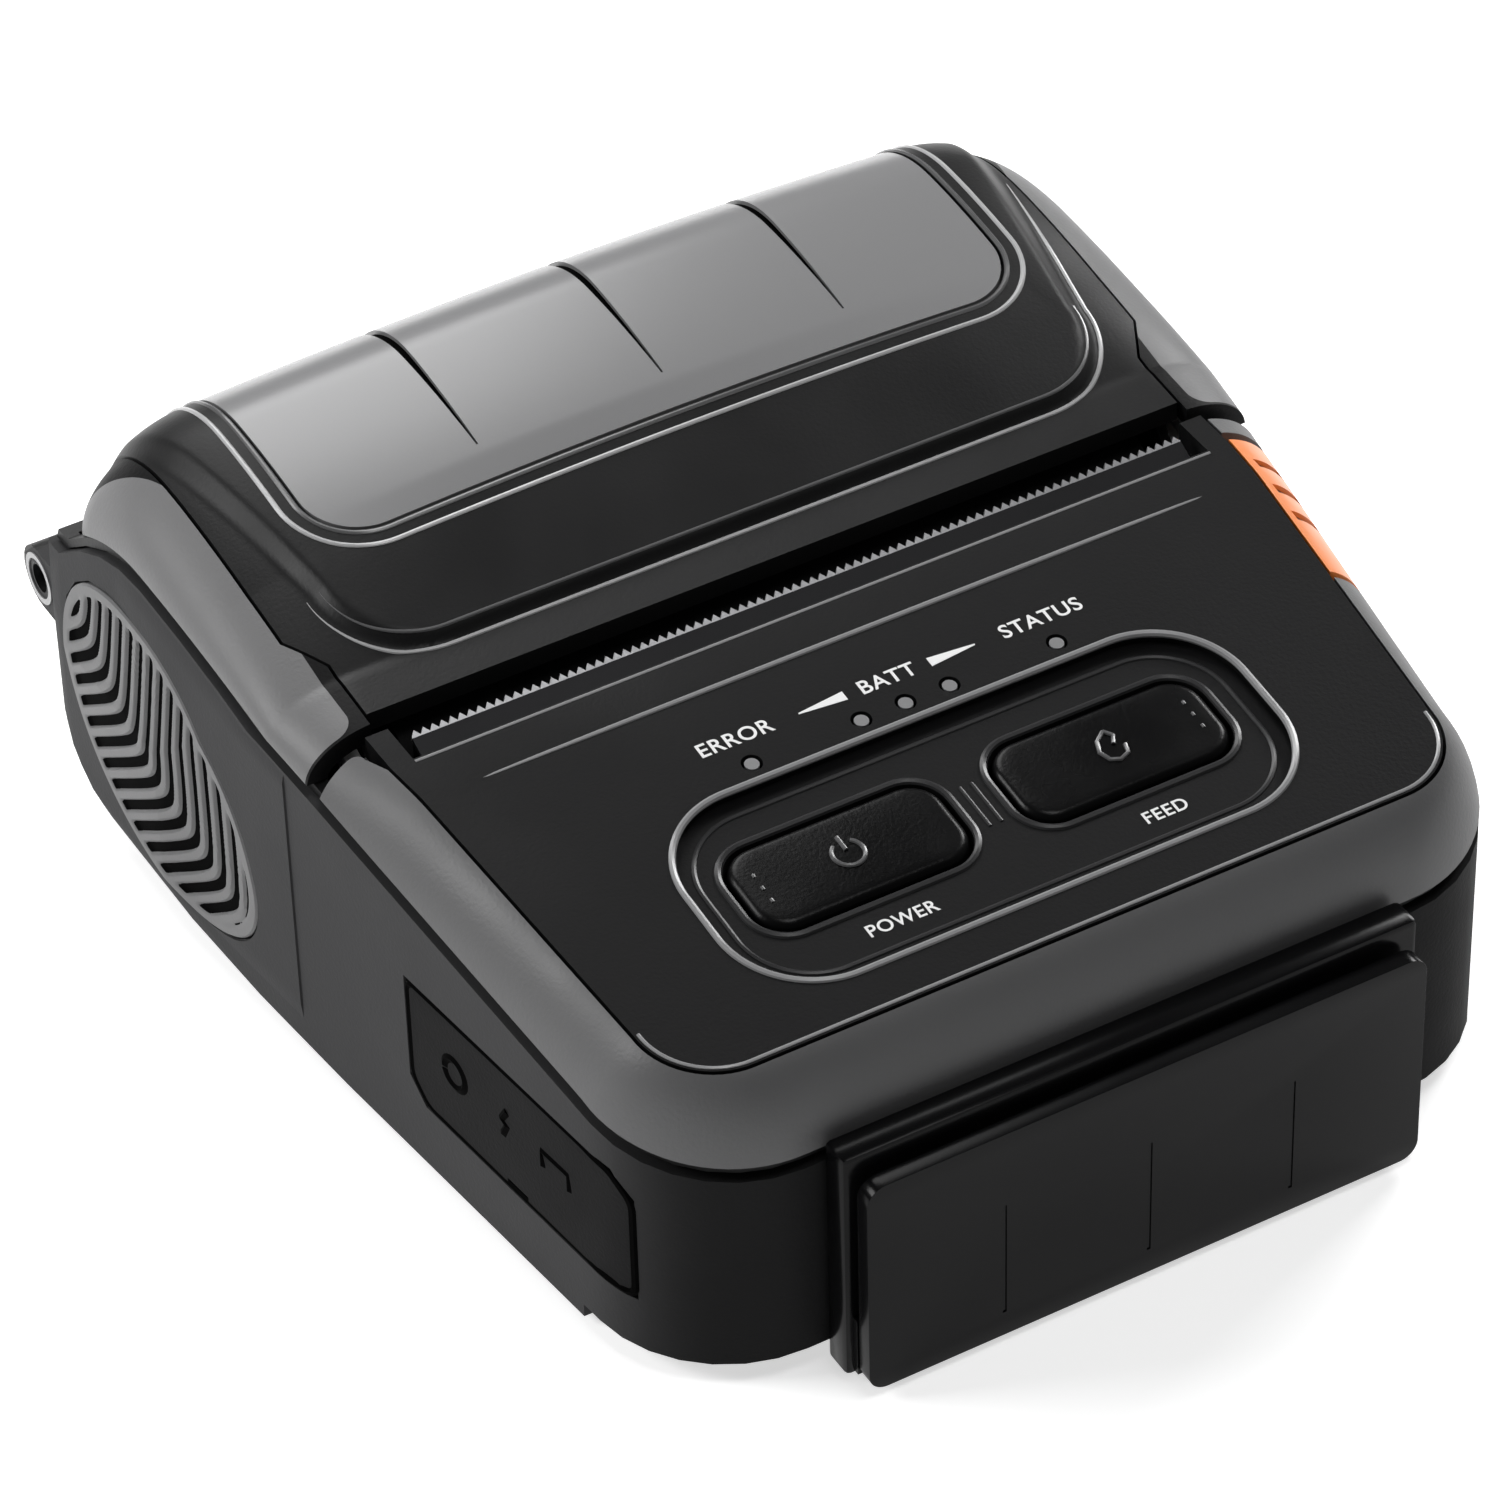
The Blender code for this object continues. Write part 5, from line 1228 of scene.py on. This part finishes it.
def control_panel():
    panel = laid_on_panel(prism("panel_skin", panel_plan(0), "Z", -panel_thickness, 0))
    recess = rounded_box((0, tear_y - recess_distance), recess_half_length, recess_half_width,
                         recess_corner_radius, corner_steps)
    cut(panel, laid_on_panel(prism("recess", recess, "Z", -recess_depth, cut_overrun)))
    for side in (-1, 1):
        hole = prism("button_hole", button_outline(side, fit_gap), "Z", -cut_overrun, cut_overrun)
        cut(panel, laid_on_panel(hole))
    for x in (-led_outer_offset, -led_inner_offset, 0, led_inner_offset, led_outer_offset):
        cut(panel, laid_on_panel(rod("led_hole", led_radius + seat_gap, "Z", -cut_overrun,
                                     cut_overrun, (x, tear_y - led_distance),
                                     steps=small_steps)))
    for side in (-1, 1):
        for distance in (post_front, post_rear):
            post = rod("post", post_radius, "Z", -switch_board_depth + seat_gap,
                       -panel_thickness / 2, (side * post_offset, tear_y - distance),
                       steps=small_steps)
            join(panel, laid_on_panel(post))
    return panel


fit(control_panel(), "panel_black", "case", "black_plastic", "control_panel")

# %% [markdown]
# Bezel and lever are one curved band round the panel, cut apart where the lever starts. They could be
# two lofts, but drawn together their surfaces run on from grey to orange.


# %% Bezel
def bezel_path(side_steps=30):
    """Pairs of points of the bezel: outer ones over the case, inner ones round the panel."""
    outer_corner = (front_half_width - front_corner_radius, front_y + front_corner_radius)
    radius = panel_corner_radius + seat_gap / 2
    inner_front = tear_y - panel_front - seat_gap / 2
    inner_corner = (panel_front_half_width + seat_gap / 2 - radius, inner_front + radius)
    outer = arc(outer_corner, front_corner_radius, -quarter, -math.atan(taper), corner_steps)
    inner = arc(inner_corner, radius, -quarter, 0, corner_steps)
    end = tear_y + bezel_rear_end
    outer_start, inner_start = outer[-1], inner[-1]
    slot = tear_y - panel_slot_front
    wide = panel_rear_half_width + seat_gap / 2
    for i in range(1, side_steps + 1):
        share = i / side_steps
        y = outer_start[1] + (end - outer_start[1]) * share
        outer.append((half_width(y), y))
        y = inner_start[1] + (end - inner_start[1]) * share
        part = min(1, (y - inner_start[1]) / (slot - inner_start[1]))
        inner.append((inner_start[0] + (wide - inner_start[0]) * part, y))
    right = list(zip(outer, inner))
    left = [((-a[0], a[1]), (-b[0], b[1])) for a, b in right]
    return list(reversed(left)) + right


def bezel_band(name):
    """The band between the seam and the panel, a little fuller than a flat slope."""
    path = bezel_path()
    rows = 17

    def spot(column, row):
        share = row / (rows - 1)
        outer, inner = path[column]
        low, high = seam(outer[1]) - seat_gap, panel_height(inner[1])
        inward = share + (1 - math.cos(share * quarter) - share) * bezel_fullness
        upward = share + (math.sin(share * quarter) - share) * bezel_fullness
        return (outer[0] + (inner[0] - outer[0]) * inward,
                outer[1] + (inner[1] - outer[1]) * inward,
                low + (high - low) * upward)

    band = shell_on_grid(name, len(path), rows, spot, bezel_thickness)
    cut(band, prism("panel_room", panel_plan(seat_gap), "Z", -cut_overrun, tall))
    return above_seam(band)


bezel_end_inset = 0.0012
bezel_end_setback = -0.0006
bezel_end_radius = 0.0012


def bezel():
    """Grey frame of the panel, and the small corner of it behind the release lever."""
    band = bezel_band("bezel_skin")
    cut(band, box("lever_room", (0, tear_y - lever_front - lever_gap, 0),
                  (tall, tear_y + cut_overrun, tall)))
    inner, rear = panel_rear_half_width + bezel_end_inset, tear_y - bezel_end_setback
    round_corner = arc((-inner - bezel_end_radius, rear - bezel_end_radius), bezel_end_radius,
                       0, quarter, 12)
    cut_away = [(0, tall), (0, rear - 4 * bezel_end_radius),
                (-panel_rear_half_width, rear - 4 * bezel_end_radius)] + round_corner
    cut_away += [(-tall, rear), (-tall, tall)]
    cut(band, prism("bezel_end_room", cut_away, "Z", -cut_overrun, tall))
    fit(band, "grey_plastic", "case", "grey_plastic", "bezel")
    corner = bezel_band("bezel_corner_skin")
    common(corner, box("corner_span", (0, tear_y - bezel_corner_front, 0),
                       (tall, tear_y + cut_overrun, tall)))
    fit(corner, "grey_plastic", "case", "grey_plastic", "bezel_corner")


bezel()


# %% Release lever
def lever_pivot():
    """Pivot of the release lever, under its front end, as (y, z)."""
    y = tear_y - lever_front + lever_pivot_setback
    return y, seam(y) + lever_pivot_lift


def lever_boss_span():
    """Ends of the lever's boss along X."""
    outer = half_width(lever_pivot()[0]) - lever_boss_inset + lever_boss_length
    return outer - lever_boss_length, outer


rib_spacing = 0.0038
rib_reach = 0.0038
rib_rim = 0.0009
rib_half = 0.0006
rib_sunk = 0.0003


def release_lever():
    """Orange thumb lever with three slanted ribs across its shoulder, each a groove floored with painted
    shade.
    """
    lever = bezel_band("lever_skin")
    common(lever, box("lever_span", (0, tear_y - lever_front, 0), (tall, tear_y - lever_rear, tall)))
    for i in range(lever_rib_count):
        y = tear_y - lever_rib_first - rib_spacing * i
        outer = half_width(y)
        span = (outer - rib_reach, y - rib_half, 0), (outer - rib_rim, y + rib_half, tall)
        # Each groove is floored by a sunk slice of the band in a dark orange: painted shade.
        rib = common(bezel_band(f"lever_rib_{i}"), box("rib_span", *span))
        cut(lever, box("rib_gap", *span))
        rib.data.transform(Matrix.Translation((-rib_sunk, 0, -rib_sunk)))
        fit(rib, "orange_painted_shade", "lever", "orange_plastic")
    pivot = lever_pivot()
    low, high = lever_boss_span()
    join(lever, rod("lever_boss", lever_boss_radius, "X", low, high, pivot, steps=small_steps))
    return cut(lever, rod("lever_bore", lever_pin_bore, "X", low - lug_width, high - seat_gap,
                          pivot, steps=small_steps))


fit(release_lever(), "orange_plastic", "lever", "orange_plastic", "release_lever")
print("lever ribs:", lever_rib_count)

# %% [markdown]
# Each key is a soft rubber cap in a close-fitting hole. A block with bevelled edges would do from
# afar, but a cap lofted ring by ring gets a round shoulder and a slight crown, as moulded rubber has.


# %% Keys
def lofted(name, rings):
    """A closed body through rings of points, with flat ends."""
    shape = bmesh.new()
    made = [[shape.verts.new(p) for p in ring] for ring in rings]
    for a, b in zip(made, made[1:]):
        for i in range(len(a)):
            k = (i + 1) % len(a)
            shape.faces.new((a[i], a[k], b[k], b[i]))
    shape.faces.new(made[0])
    shape.faces.new(made[-1])
    bmesh.ops.recalc_face_normals(shape, faces=shape.faces)
    return from_bmesh(name, shape)


key_round = 0.0009
key_crown = 0.00006
round_rings, crown_rings = 6, 8


def key_point(side, point, share, lift):
    """A key's outline point drawn in to a share of its way to the middle."""
    x, y = point
    middle = (side * button_offset, tear_y - button_distance)
    x, y = middle[0] + (x - middle[0]) * share, middle[1] + (y - middle[1]) * share
    return Vector((x, y, plane_height(y) - button_sink + lift))


def key_cap(side, name):
    rings = []
    outline = button_outline(side, 0)
    rings.append([key_point(side, p, 1, -button_height) for p in outline])
    for i in range(round_rings + 1):
        angle = i * quarter / round_rings
        drawn_in = key_round * (1 - math.cos(angle))
        ring = button_outline(side, -drawn_in)
        rings.append([key_point(side, p, 1, key_round * (math.sin(angle) - 1)) for p in ring])
    inner = button_outline(side, -key_round)
    for i in range(1, crown_rings + 1):
        share = 1 - i / (crown_rings + 0.5)
        rings.append([key_point(side, p, share, key_crown * (1 - share ** 2)) for p in inner])
    return lofted(name, rings)


def raised_line(name, points, radius, lift=0.0, closed=False):
    """A thin bead laid on the panel's slope through places (x, y)."""
    path = [Vector((x, y, panel_height(y) + lift)) for x, y in points]
    return sweep(name, path, [radius] * len(path), closed, 8)


def key_spot(side, x, y):
    """A place on a key, from its middle."""
    return side * button_offset + x, tear_y - button_distance + y


mark_radius = 0.00022
mark_rise = 0.00002
mark_lift = key_crown - button_sink + mark_rise
ring_radius, ring_start, ring_turn = 0.0015, 2.2, 5.05
dot_offset, dot_pitch, dot_radius, dot_sink = 0.0087, 0.0016, 0.0002, 0.00015
power_ring = [key_spot(-1, x, y) for x, y in arc((0, 0), ring_radius, ring_start,
                                                    ring_start + ring_turn, small_steps)]
power_bar = [key_spot(-1, 0, y) for y in (0.0004, 0.0012, 0.0021)]
feed_loop = [key_spot(1, x, y) for x, y in
             [(0.0003, 0.0019), (-0.0008, 0.0011), (-0.0013, -0.0002), (-0.0009, -0.0013),
              (0.0, -0.0017), (0.0010, -0.0013), (0.0013, -0.0003)]]
feed_bar = [key_spot(1, x, y) for x, y in [(0.0003, 0.0019), (0.0009, 0.0011), (0.0004, 0.0002)]]
for side, name, marks in ((-1, "power", (power_ring, power_bar)), (1, "feed", (feed_loop, feed_bar))):
    fit(key_cap(side, name + "_key_cap"), "key_rubber", name + "_key", "dark_rubber", name + "_button")
    for number, points in enumerate(marks):
        mark = raised_line(f"{name}_mark_{number}", points, mark_radius, mark_lift)
        fit(mark, "key_mark", name + "_key", "dark_rubber")
    for step in (-1, 0, 1):
        x, y = key_spot(side, side * dot_offset, step * dot_pitch)
        dot = raised_line(f"{name}_dot_{step + 1}", [(x, y - dot_radius), (x, y + dot_radius)],
                          dot_radius, mark_lift - dot_sink)
        fit(dot, "key_mark", name + "_key", "dark_rubber")
print("keys ready")

# %% [markdown]
# Round the keys runs the recess. Its lip is a bead that stands a hair above the panel, and the
# crease behind the lamps is one too. Both take the long highlight that draws them in the light, and
# the pale colour of these and the panel's other fine lines adds painted highlight.


# %% Panel's lines, with painted highlight
line_sink, floor_line_sink = 0.0001, 0.00012
lip_radius, floor_line_radius, surround_radius = 0.00036, 0.0003, 0.0004
tick_radius, edge_line_radius = 0.0002, 0.00022
floor_inset = 0.0019
recess_middle = (0, tear_y - recess_distance)
recess_line = rounded_box(recess_middle, recess_half_length, recess_half_width,
                          recess_corner_radius, small_steps)
floor_line = rounded_box(recess_middle, recess_half_length - floor_inset,
                         recess_half_width - floor_inset, recess_corner_radius - floor_inset,
                         small_steps)
# Every line below is lighter than the panel: painted highlight over each bead's real shine.
lines = [("recess_lip", recess_line, lip_radius, -line_sink, True, "painted_highlight"),
         ("recess_floor_line", floor_line, floor_line_radius, -recess_depth - floor_line_sink, True,
          "painted_highlight_faint")]
for side, name in ((-1, "power"), (1, "feed")):
    lines.append((f"{name}_surround", button_outline(side, fit_gap + surround_radius),
                  surround_radius, -recess_depth - line_sink, True, "painted_highlight_faint"))
tick_offset, tick_reach = 0.0006, 0.0026
for offset, name in ((-tick_offset, "a"), (tick_offset, "b")):
    y = tear_y - button_distance
    lines.append((f"divider_{name}", [(offset, y - tick_reach), (offset, y + tick_reach)],
                  tick_radius, -recess_depth - line_sink / 2, False, "painted_highlight_faint"))
edge_inset, edge_line_reach = 0.0004, 0.03
edge = [p for p in panel_plan(-edge_inset) if p[1] < tear_y - edge_line_reach]
edge_right = [p for p in edge if p[0] >= 0]
edge_path = [(-x, y) for x, y in reversed(edge_right[1:])] + edge_right
lines.append(("panel_edge_line", edge_path, edge_line_radius, -line_sink, False, "painted_highlight"))
slot_lip_y = tear_y - panel_slot_front - edge_inset
slot_lip_path = [(slot_mouth_half_length * (1 - i / front_steps), slot_lip_y)
                 for i in range(2 * front_steps + 1)]
lines.append(("slot_lip_line", slot_lip_path, edge_line_radius, -line_sink, False, "painted_highlight"))
for name, path, radius, lift, closed, finish in lines:
    fit(raised_line(name, path, radius, lift, closed), finish, "case", "black_plastic")
crease_reach, crease_ahead = 0.0385, 0.0003
crease_thin, crease_swell = 0.00006, 0.00026
crease_count = 40
crease_path = []
crease_radii = []
for i in range(crease_count + 1):
    x = crease_reach * (2 * i / crease_count - 1)
    y = tear_y - panel_crease - crease_ahead
    crease_path.append(Vector((x, y, panel_height(y) - line_sink)))
    crease_radii.append(crease_thin
                        + crease_swell * math.sqrt(max(0, 1 - abs(x / crease_reach) ** 3)))
fit(sweep("panel_crease_line", crease_path, crease_radii, False, 8), "painted_highlight", "case",
    "black_plastic")
print("panel lines ready")

# %% [markdown]
# The words by the lamps and keys are pad-printed: a skin of white ink. Blender's own letters are
# turned into a mesh and given a thickness of a few hundredths of a millimetre.

# %% Print on the panel
print_thickness = 0.00004
panel_tilt = math.atan(panel_slope)
letter_spacing, letter_weight = 1.08, 0.012


def printed(name, words, x, distance, height):
    """A word laid flat on the panel's slope, centred at a place."""
    curve = bpy.data.curves.new(name, "FONT")
    curve.body = words
    curve.size = height
    curve.align_x, curve.align_y = "CENTER", "CENTER"
    curve.space_character = letter_spacing
    curve.offset = height * letter_weight
    curve.extrude = print_thickness
    drawn = bpy.data.objects.new(name + "_curve", curve)
    bpy.context.scene.collection.objects.link(drawn)
    y = tear_y - distance
    drawn.matrix_world = (Matrix.Translation((x, y, plane_height(y)))
                          @ Matrix.Rotation(panel_tilt, 4, "X"))
    mesh = seen_mesh(drawn)
    mesh.transform(drawn.matrix_world)
    bpy.data.objects.remove(drawn, do_unlink=True)
    obj = bpy.data.objects.new(name, mesh)
    bpy.context.scene.collection.objects.link(obj)
    return obj


lamp_words, key_words = 0.0150, 0.0394
large, small = 0.0023, 0.001955
labels = (("label_error", "ERROR", -0.0158, lamp_words, large, 0),
          ("label_batt", "BATT", 0.0, lamp_words, large, 0),
          ("label_status", "STATUS", 0.0162, lamp_words, large, 0),
          ("label_power", "POWER", -0.0132, key_words, small, recess_depth),
          ("label_feed", "FEED", 0.0140, key_words, small, recess_depth))
for name, words, x, distance, height, depth in labels:
    word = printed(name, words, x, distance, height)
    word.data.transform(Matrix.Translation((0, 0, -depth)))
    fit(word, "white_print", "case", "black_plastic")
pointer_base, pointer_tip = 0.0044, 0.0092
base_half, tip_half = 0.00055, 0.00008
for side, name in both_sides:
    base, tip, y = side * pointer_base, side * pointer_tip, tear_y - lamp_words
    outline = [(base, y - base_half), (tip, y - tip_half), (tip, y + tip_half), (base, y + base_half)]
    pointer = prism("pointer_" + name, outline, "Z", -print_thickness, print_thickness)
    fit(laid_on_panel(pointer), "white_print", "case", "black_plastic")
print("labels:", len(labels))

# %% [markdown]
# The grips are soft pads in both sides, with fine ribs that curve across them. A bump map would
# vanish in the outline and in the exported mesh, so the ribs are real: a fine polar grid whose
# points are pushed in and out by one wave.

# %% Grips
rib_pitch = 0.0021
rib_depth = 0.0005
floor_share = 0.5
rib_slope = math.radians(36)
rib_steepness = 0.9
bend_round = 0.0016
grip_rows, grip_turns, floor_rows = 96, 520, 40
pad_sink, floor_sink, rim_tuck = 0.00005, 0.0001, 0.0002
rim_steepness, rim_start = 16, 0.9


def wall_reach(y, z):
    """Half width of the case's wall at a place on it."""
    wide = half_width(y)
    before = min(front_corner_radius, front_y + front_corner_radius - y)
    if before > 0:
        wide += math.sqrt(front_corner_radius ** 2 - before ** 2) - front_corner_radius
    if z > shoulder_start_height:
        share = (z - shoulder_start_height) / (seam_crest_height - shoulder_start_height)
        wide = min(wide, grip_half_width + (shoulder_half_width - grip_half_width) * share)
    low = case_bottom + side_edge_radius
    if z < low:
        wide = min(wide, grip_half_width - side_edge_radius
                   + math.sqrt(max(0, side_edge_radius ** 2 - (low - z) ** 2)))
    return wide


def rib_wave(y, z):
    """0 in a groove and 1 on a rib: the ribs rise towards the front, then turn upright."""
    behind, up = y - tear_y - grip_distance, z - grip_height
    rising = up * math.cos(rib_slope) + behind * math.sin(rib_slope)
    joined = (rising + behind - math.hypot(rising - behind, bend_round)) / 2
    return ramp(0.5 - math.cos(joined / rib_pitch * 4 * quarter) * rib_steepness)


def grip_pad(side, name, wave, base, rows, steps=round_steps):
    """A pad in the side wall, whose face stands a base above the wall and is cut by a wave."""
    rim = grip_outline(0, steps)
    middle = (tear_y + grip_distance, grip_height)
    rings = []
    for row in range(rows):
        share = 1 - row / rows
        ring = []
        for y0, z0 in rim:
            y = middle[0] + (y0 - middle[0]) * share
            z = middle[1] + (z0 - middle[1]) * share
            inside = ramp((1 - share) * rim_steepness - rim_start)
            proud = base - rib_depth * (1 - wave(y, z)) * inside
            if row == 0:
                proud -= rim_tuck
            ring.append(Vector((side * (wall_reach(y, z) + proud), y, z)))
        rings.append(ring)
    back = [Vector((side * (wall_reach(y, z) - grip_seat_depth + seat_gap), y, z)) for y, z in rim]
    return lofted(name, [back] + rings)


for side, name in both_sides:
    pad = grip_pad(side, f"grip_pad_{name}", rib_wave, grip_rise - pad_sink, grip_rows, grip_turns)
    fit(pad, "grip_rubber", "case", "dark_rubber", f"grip_{name}")
# Painted shade: a near-black sheet at the grooves' mid-depth darkens the grip's grooves.
for side, name in both_sides:
    groove_shade_pad = grip_pad(side, f"grip_groove_shade_{name}", lambda y, z: 1 - floor_share,
                         grip_rise - floor_sink, floor_rows)
    fit(groove_shade_pad, "shade_and_mark_black", "case", "dark_rubber")

# %% [markdown]
# The tear bar is a steel strip whose teeth are ground bright. The strip is a near-black steel, painted
# shade for a bar that lies in shadow, and strip and teeth are two pieces that share the bar's slope, so
# the light picks out the teeth alone.

# %% Tear bar
tear_bar_half_length = half_paper + 0.0005
tear_bar_height = 0.0390
tear_bar_width = 0.0030
tear_bar_thickness = 0.0005
tear_bar_tilt = 0.46
tear_tooth_count = 87
tear_tooth_depth = 0.0006
ground_run = 0.0001
ground_depth = tear_tooth_depth + ground_run


def on_bar(obj):
    """Tilt a piece that was made flat, and lift it to the tear bar's place."""
    obj.data.transform(Matrix.Rotation(tear_bar_tilt, 4, "X"))
    obj.data.transform(Matrix.Translation((0, tear_y, tear_bar_height)))
    return obj


tooth_pitch = 2 * tear_bar_half_length / tear_tooth_count
teeth = []
for i in range(tear_tooth_count):
    x = tear_bar_half_length - tooth_pitch * i
    teeth += [(x, -tear_tooth_depth), (x - tooth_pitch / 2, 0)]
teeth.append((-tear_bar_half_length, -tear_tooth_depth))
ground = [(-tear_bar_half_length, -ground_depth), (tear_bar_half_length, -ground_depth)]
shaded_span = [(-tear_bar_half_length, -tear_bar_width), (tear_bar_half_length, -tear_bar_width)]
fit(on_bar(prism("tear_teeth", ground + teeth, "Z", -tear_bar_thickness, 0)), "ground_steel",
    "case", "steel")
# Painted shade: the strip takes a near-black steel.
fit(on_bar(prism("tear_strip", shaded_span + ground[::-1], "Z", -tear_bar_thickness, 0)), "dark_steel",
    "case", "steel", "tear_bar")
print("teeth:", tear_tooth_count)

# %% [markdown]
# The port cover carries small raised marks for what is behind it: here a plain ring for the round
# inlet, a bolt and a bar for the data socket. They are beads on the wall, and so is the near-black
# line round the cover: painted shade for the gap round it.


# %% Marks on the port cover
mark_bead, groove_bead, bead_sunk = 0.0009, 0.00058, 0.75
mark_ring_radius, groove_step = 0.0016, 0.001
bolt_distance = 0.0268
bar_half_length, bar_half_height = 0.002, 0.0009


def wall_line(name, points, radius):
    """A bead on the left wall through places (y, z)."""
    path = [Vector((-wall_reach(y, z) + radius * bead_sunk, y, z)) for y, z in points]
    count = len(path)
    out = Vector((-1, 0, 0))
    turns = [j * quarter / 2 for j in range(8)]
    rings = []
    for i, point in enumerate(path):
        along = (path[min(i + 1, count - 1)] - path[max(i - 1, 0)]).normalized()
        across = along.cross(out).normalized()
        rings.append([point + (across * math.cos(a) + out * math.sin(a)) * radius for a in turns])
    return lofted(name, rings)


ring_middle = (tear_y - jack_distance, port_mark_height)
ring = [(ring_middle[0] + mark_ring_radius * math.cos(a),
         ring_middle[1] + mark_ring_radius * math.sin(a))
        for a in [i * quarter / 6 for i in range(small_steps)]]
bolt_y = tear_y - bolt_distance
bolt = [(bolt_y - 0.0004, port_mark_height + 0.0016), (bolt_y + 0.0005, port_mark_height + 0.0002),
        (bolt_y - 0.0003, port_mark_height - 0.0002), (bolt_y + 0.0004, port_mark_height - 0.0016)]
bar_y = tear_y - interface_distance
bar_front, bar_rear = bar_y - bar_half_length, bar_y + bar_half_length
bar_low, bar_high = port_mark_height - bar_half_height, port_mark_height + bar_half_height
bar = [(bar_front, bar_low), (bar_front, bar_high), (bar_rear, bar_high), (bar_rear, bar_low)]
for name, points in (("port_mark_ring", ring), ("port_mark_bolt", bolt), ("port_mark_bar", bar)):
    fit(wall_line(name, points, mark_bead), "shade_and_mark_black", "port_door", "dark_rubber")
door = port_outline()
door_ring = []
for i, (y, z) in enumerate(door):
    (y0, z0), (y1, z1) = door[i - 1], door[(i + 1) % len(door)]
    before, after = math.dist((y, z), (y0, z0)), math.dist((y, z), (y1, z1))
    start = (y + (y0 - y) * door_round / before, z + (z0 - z) * door_round / before)
    end = (y + (y1 - y) * door_round / after, z + (z1 - z) * door_round / after)
    for step in range(9):
        s = step / 8
        door_ring.append(((1 - s) ** 2 * start[0] + 2 * s * (1 - s) * y + s * s * end[0],
                          (1 - s) ** 2 * start[1] + 2 * s * (1 - s) * z + s * s * end[1]))
fine_ring = []
for (y0, z0), (y1, z1) in zip(door_ring, door_ring[1:] + door_ring[:1]):
    steps = max(1, int(math.dist((y0, z0), (y1, z1)) / groove_step))
    fine_ring += [(y0 + (y1 - y0) * i / steps, z0 + (z1 - z0) * i / steps) for i in range(steps)]
# Painted shade: a near-black bead round the cover draws the gap round the door.
fit(wall_line("port_gap_shade", fine_ring + fine_ring[:1], groove_bead), "shade_and_mark_black", "case",
    "dark_rubber")
print("port marks ready")

# %% [markdown]
# The swipe reader is a polished block in front. Its cover is a plate with round corners and a soft
# edge, scored by three fine lines; the rail behind it keeps the CAD's own shape.

# %% Swipe reader
reader_rail_depth = 0.0033
reader_slot_width = 0.0010
reader_cover_height = 0.0252
reader_cover_half_length = 0.0288
reader_bottom = 0.0009
face_y = tear_y - tear_to_face
cover_corner = 0.0019
cover_soft = 0.0009
score_half = 0.0002
score_depth = 0.00012
score_share = 0.52
score_foot, score_head = 0.0028, 0.0085


def reader_cover():
    slot_front = front_y - seat_gap - reader_rail_depth - reader_slot_width
    middle = (0, (reader_bottom + reader_cover_height) / 2)
    outline = rounded_box(middle, reader_cover_half_length, (reader_cover_height - reader_bottom) / 2,
                          cover_corner, 10)
    cover = prism("reader_cover_skin", [(x, z) for x, z in outline], "Y", face_y, slot_front)
    softened(cover, cover_soft, 60)
    frozen(cover)
    for i in (-1, 0, 1):
        x = i * reader_cover_half_length * score_share
        cut(cover, box("score", (x - score_half, face_y - cut_overrun, reader_bottom + score_foot),
                       (x + score_half, face_y + score_depth, reader_cover_height - score_head)))
    return cover


fit(reader_cover(), "gloss_black", "case", "gloss_black", "card_reader_cover")

# %% [markdown]
# Two small things at the sides: a plain pale ring round each end of the hinge, painted highlight on
# the barrel's rim, and the wall that is set out a hair round the grips, whose front edge draws a fine
# upright line.

# %% Side walls
flange_front = 0.0064
flange_rear = 0.040
flange_fade = 0.006
flange_rise, flange_sink, flange_back = 0.00022, 0.00002, 0.0003
flange_top_fade, flange_foot_fade = 0.0008, 0.002
ring_outer, ring_inner, ring_depth = 0.0027, 0.0021, 0.00015


def wall_flange(side, name):
    """A thin skin on the wall round a grip, which fades out before the rear corner."""
    grids = []
    columns, rows = 60, 30
    for inner in (False, True):
        grid = []
        for j in range(rows + 1):
            row = []
            for i in range(columns + 1):
                y = tear_y + flange_front + (flange_rear - flange_front) * i / columns
                top = seam(y) - seam_gap - seat_gap
                low = case_bottom + side_edge_radius
                z = low + (top - low) * j / rows
                fade = ramp((tear_y + flange_rear - y) / flange_fade)
                fade *= ramp((top - z) / flange_top_fade)
                rise = flange_rise * fade * ramp((z - low) / flange_foot_fade) - flange_sink
                lift = -flange_back if inner else rise
                row.append(Vector((side * (wall_reach(y, z) + lift), y, z)))
            grid.append(row)
        grids.append(grid)
    reach = (0, tall) if side > 0 else (-tall, 0)
    flange = closed_sheet(name, *grids)
    return cut(flange, prism("grip_hole", grip_outline(seat_gap), "X", *reach))


for side, name in both_sides:
    ear_end = side * hinge_half_length
    low, high = sorted((ear_end - side * ring_depth, ear_end + side * ring_depth))
    ring = rod(f"hinge_ring_{name}", ring_outer, "X", low, high, (hinge_y, hinge_height))
    cut(ring, rod("ring_bore", ring_inner, "X", low - cut_overrun, high + cut_overrun,
                  (hinge_y, hinge_height)))
    # The ring's pale colour is painted highlight on the hinge barrel's rim.
    fit(ring, "painted_highlight", "case", "grey_plastic")
    fit(wall_flange(side, f"wall_flange_{name}"), "case_dark", "case", "grey_plastic")
print("side walls ready")
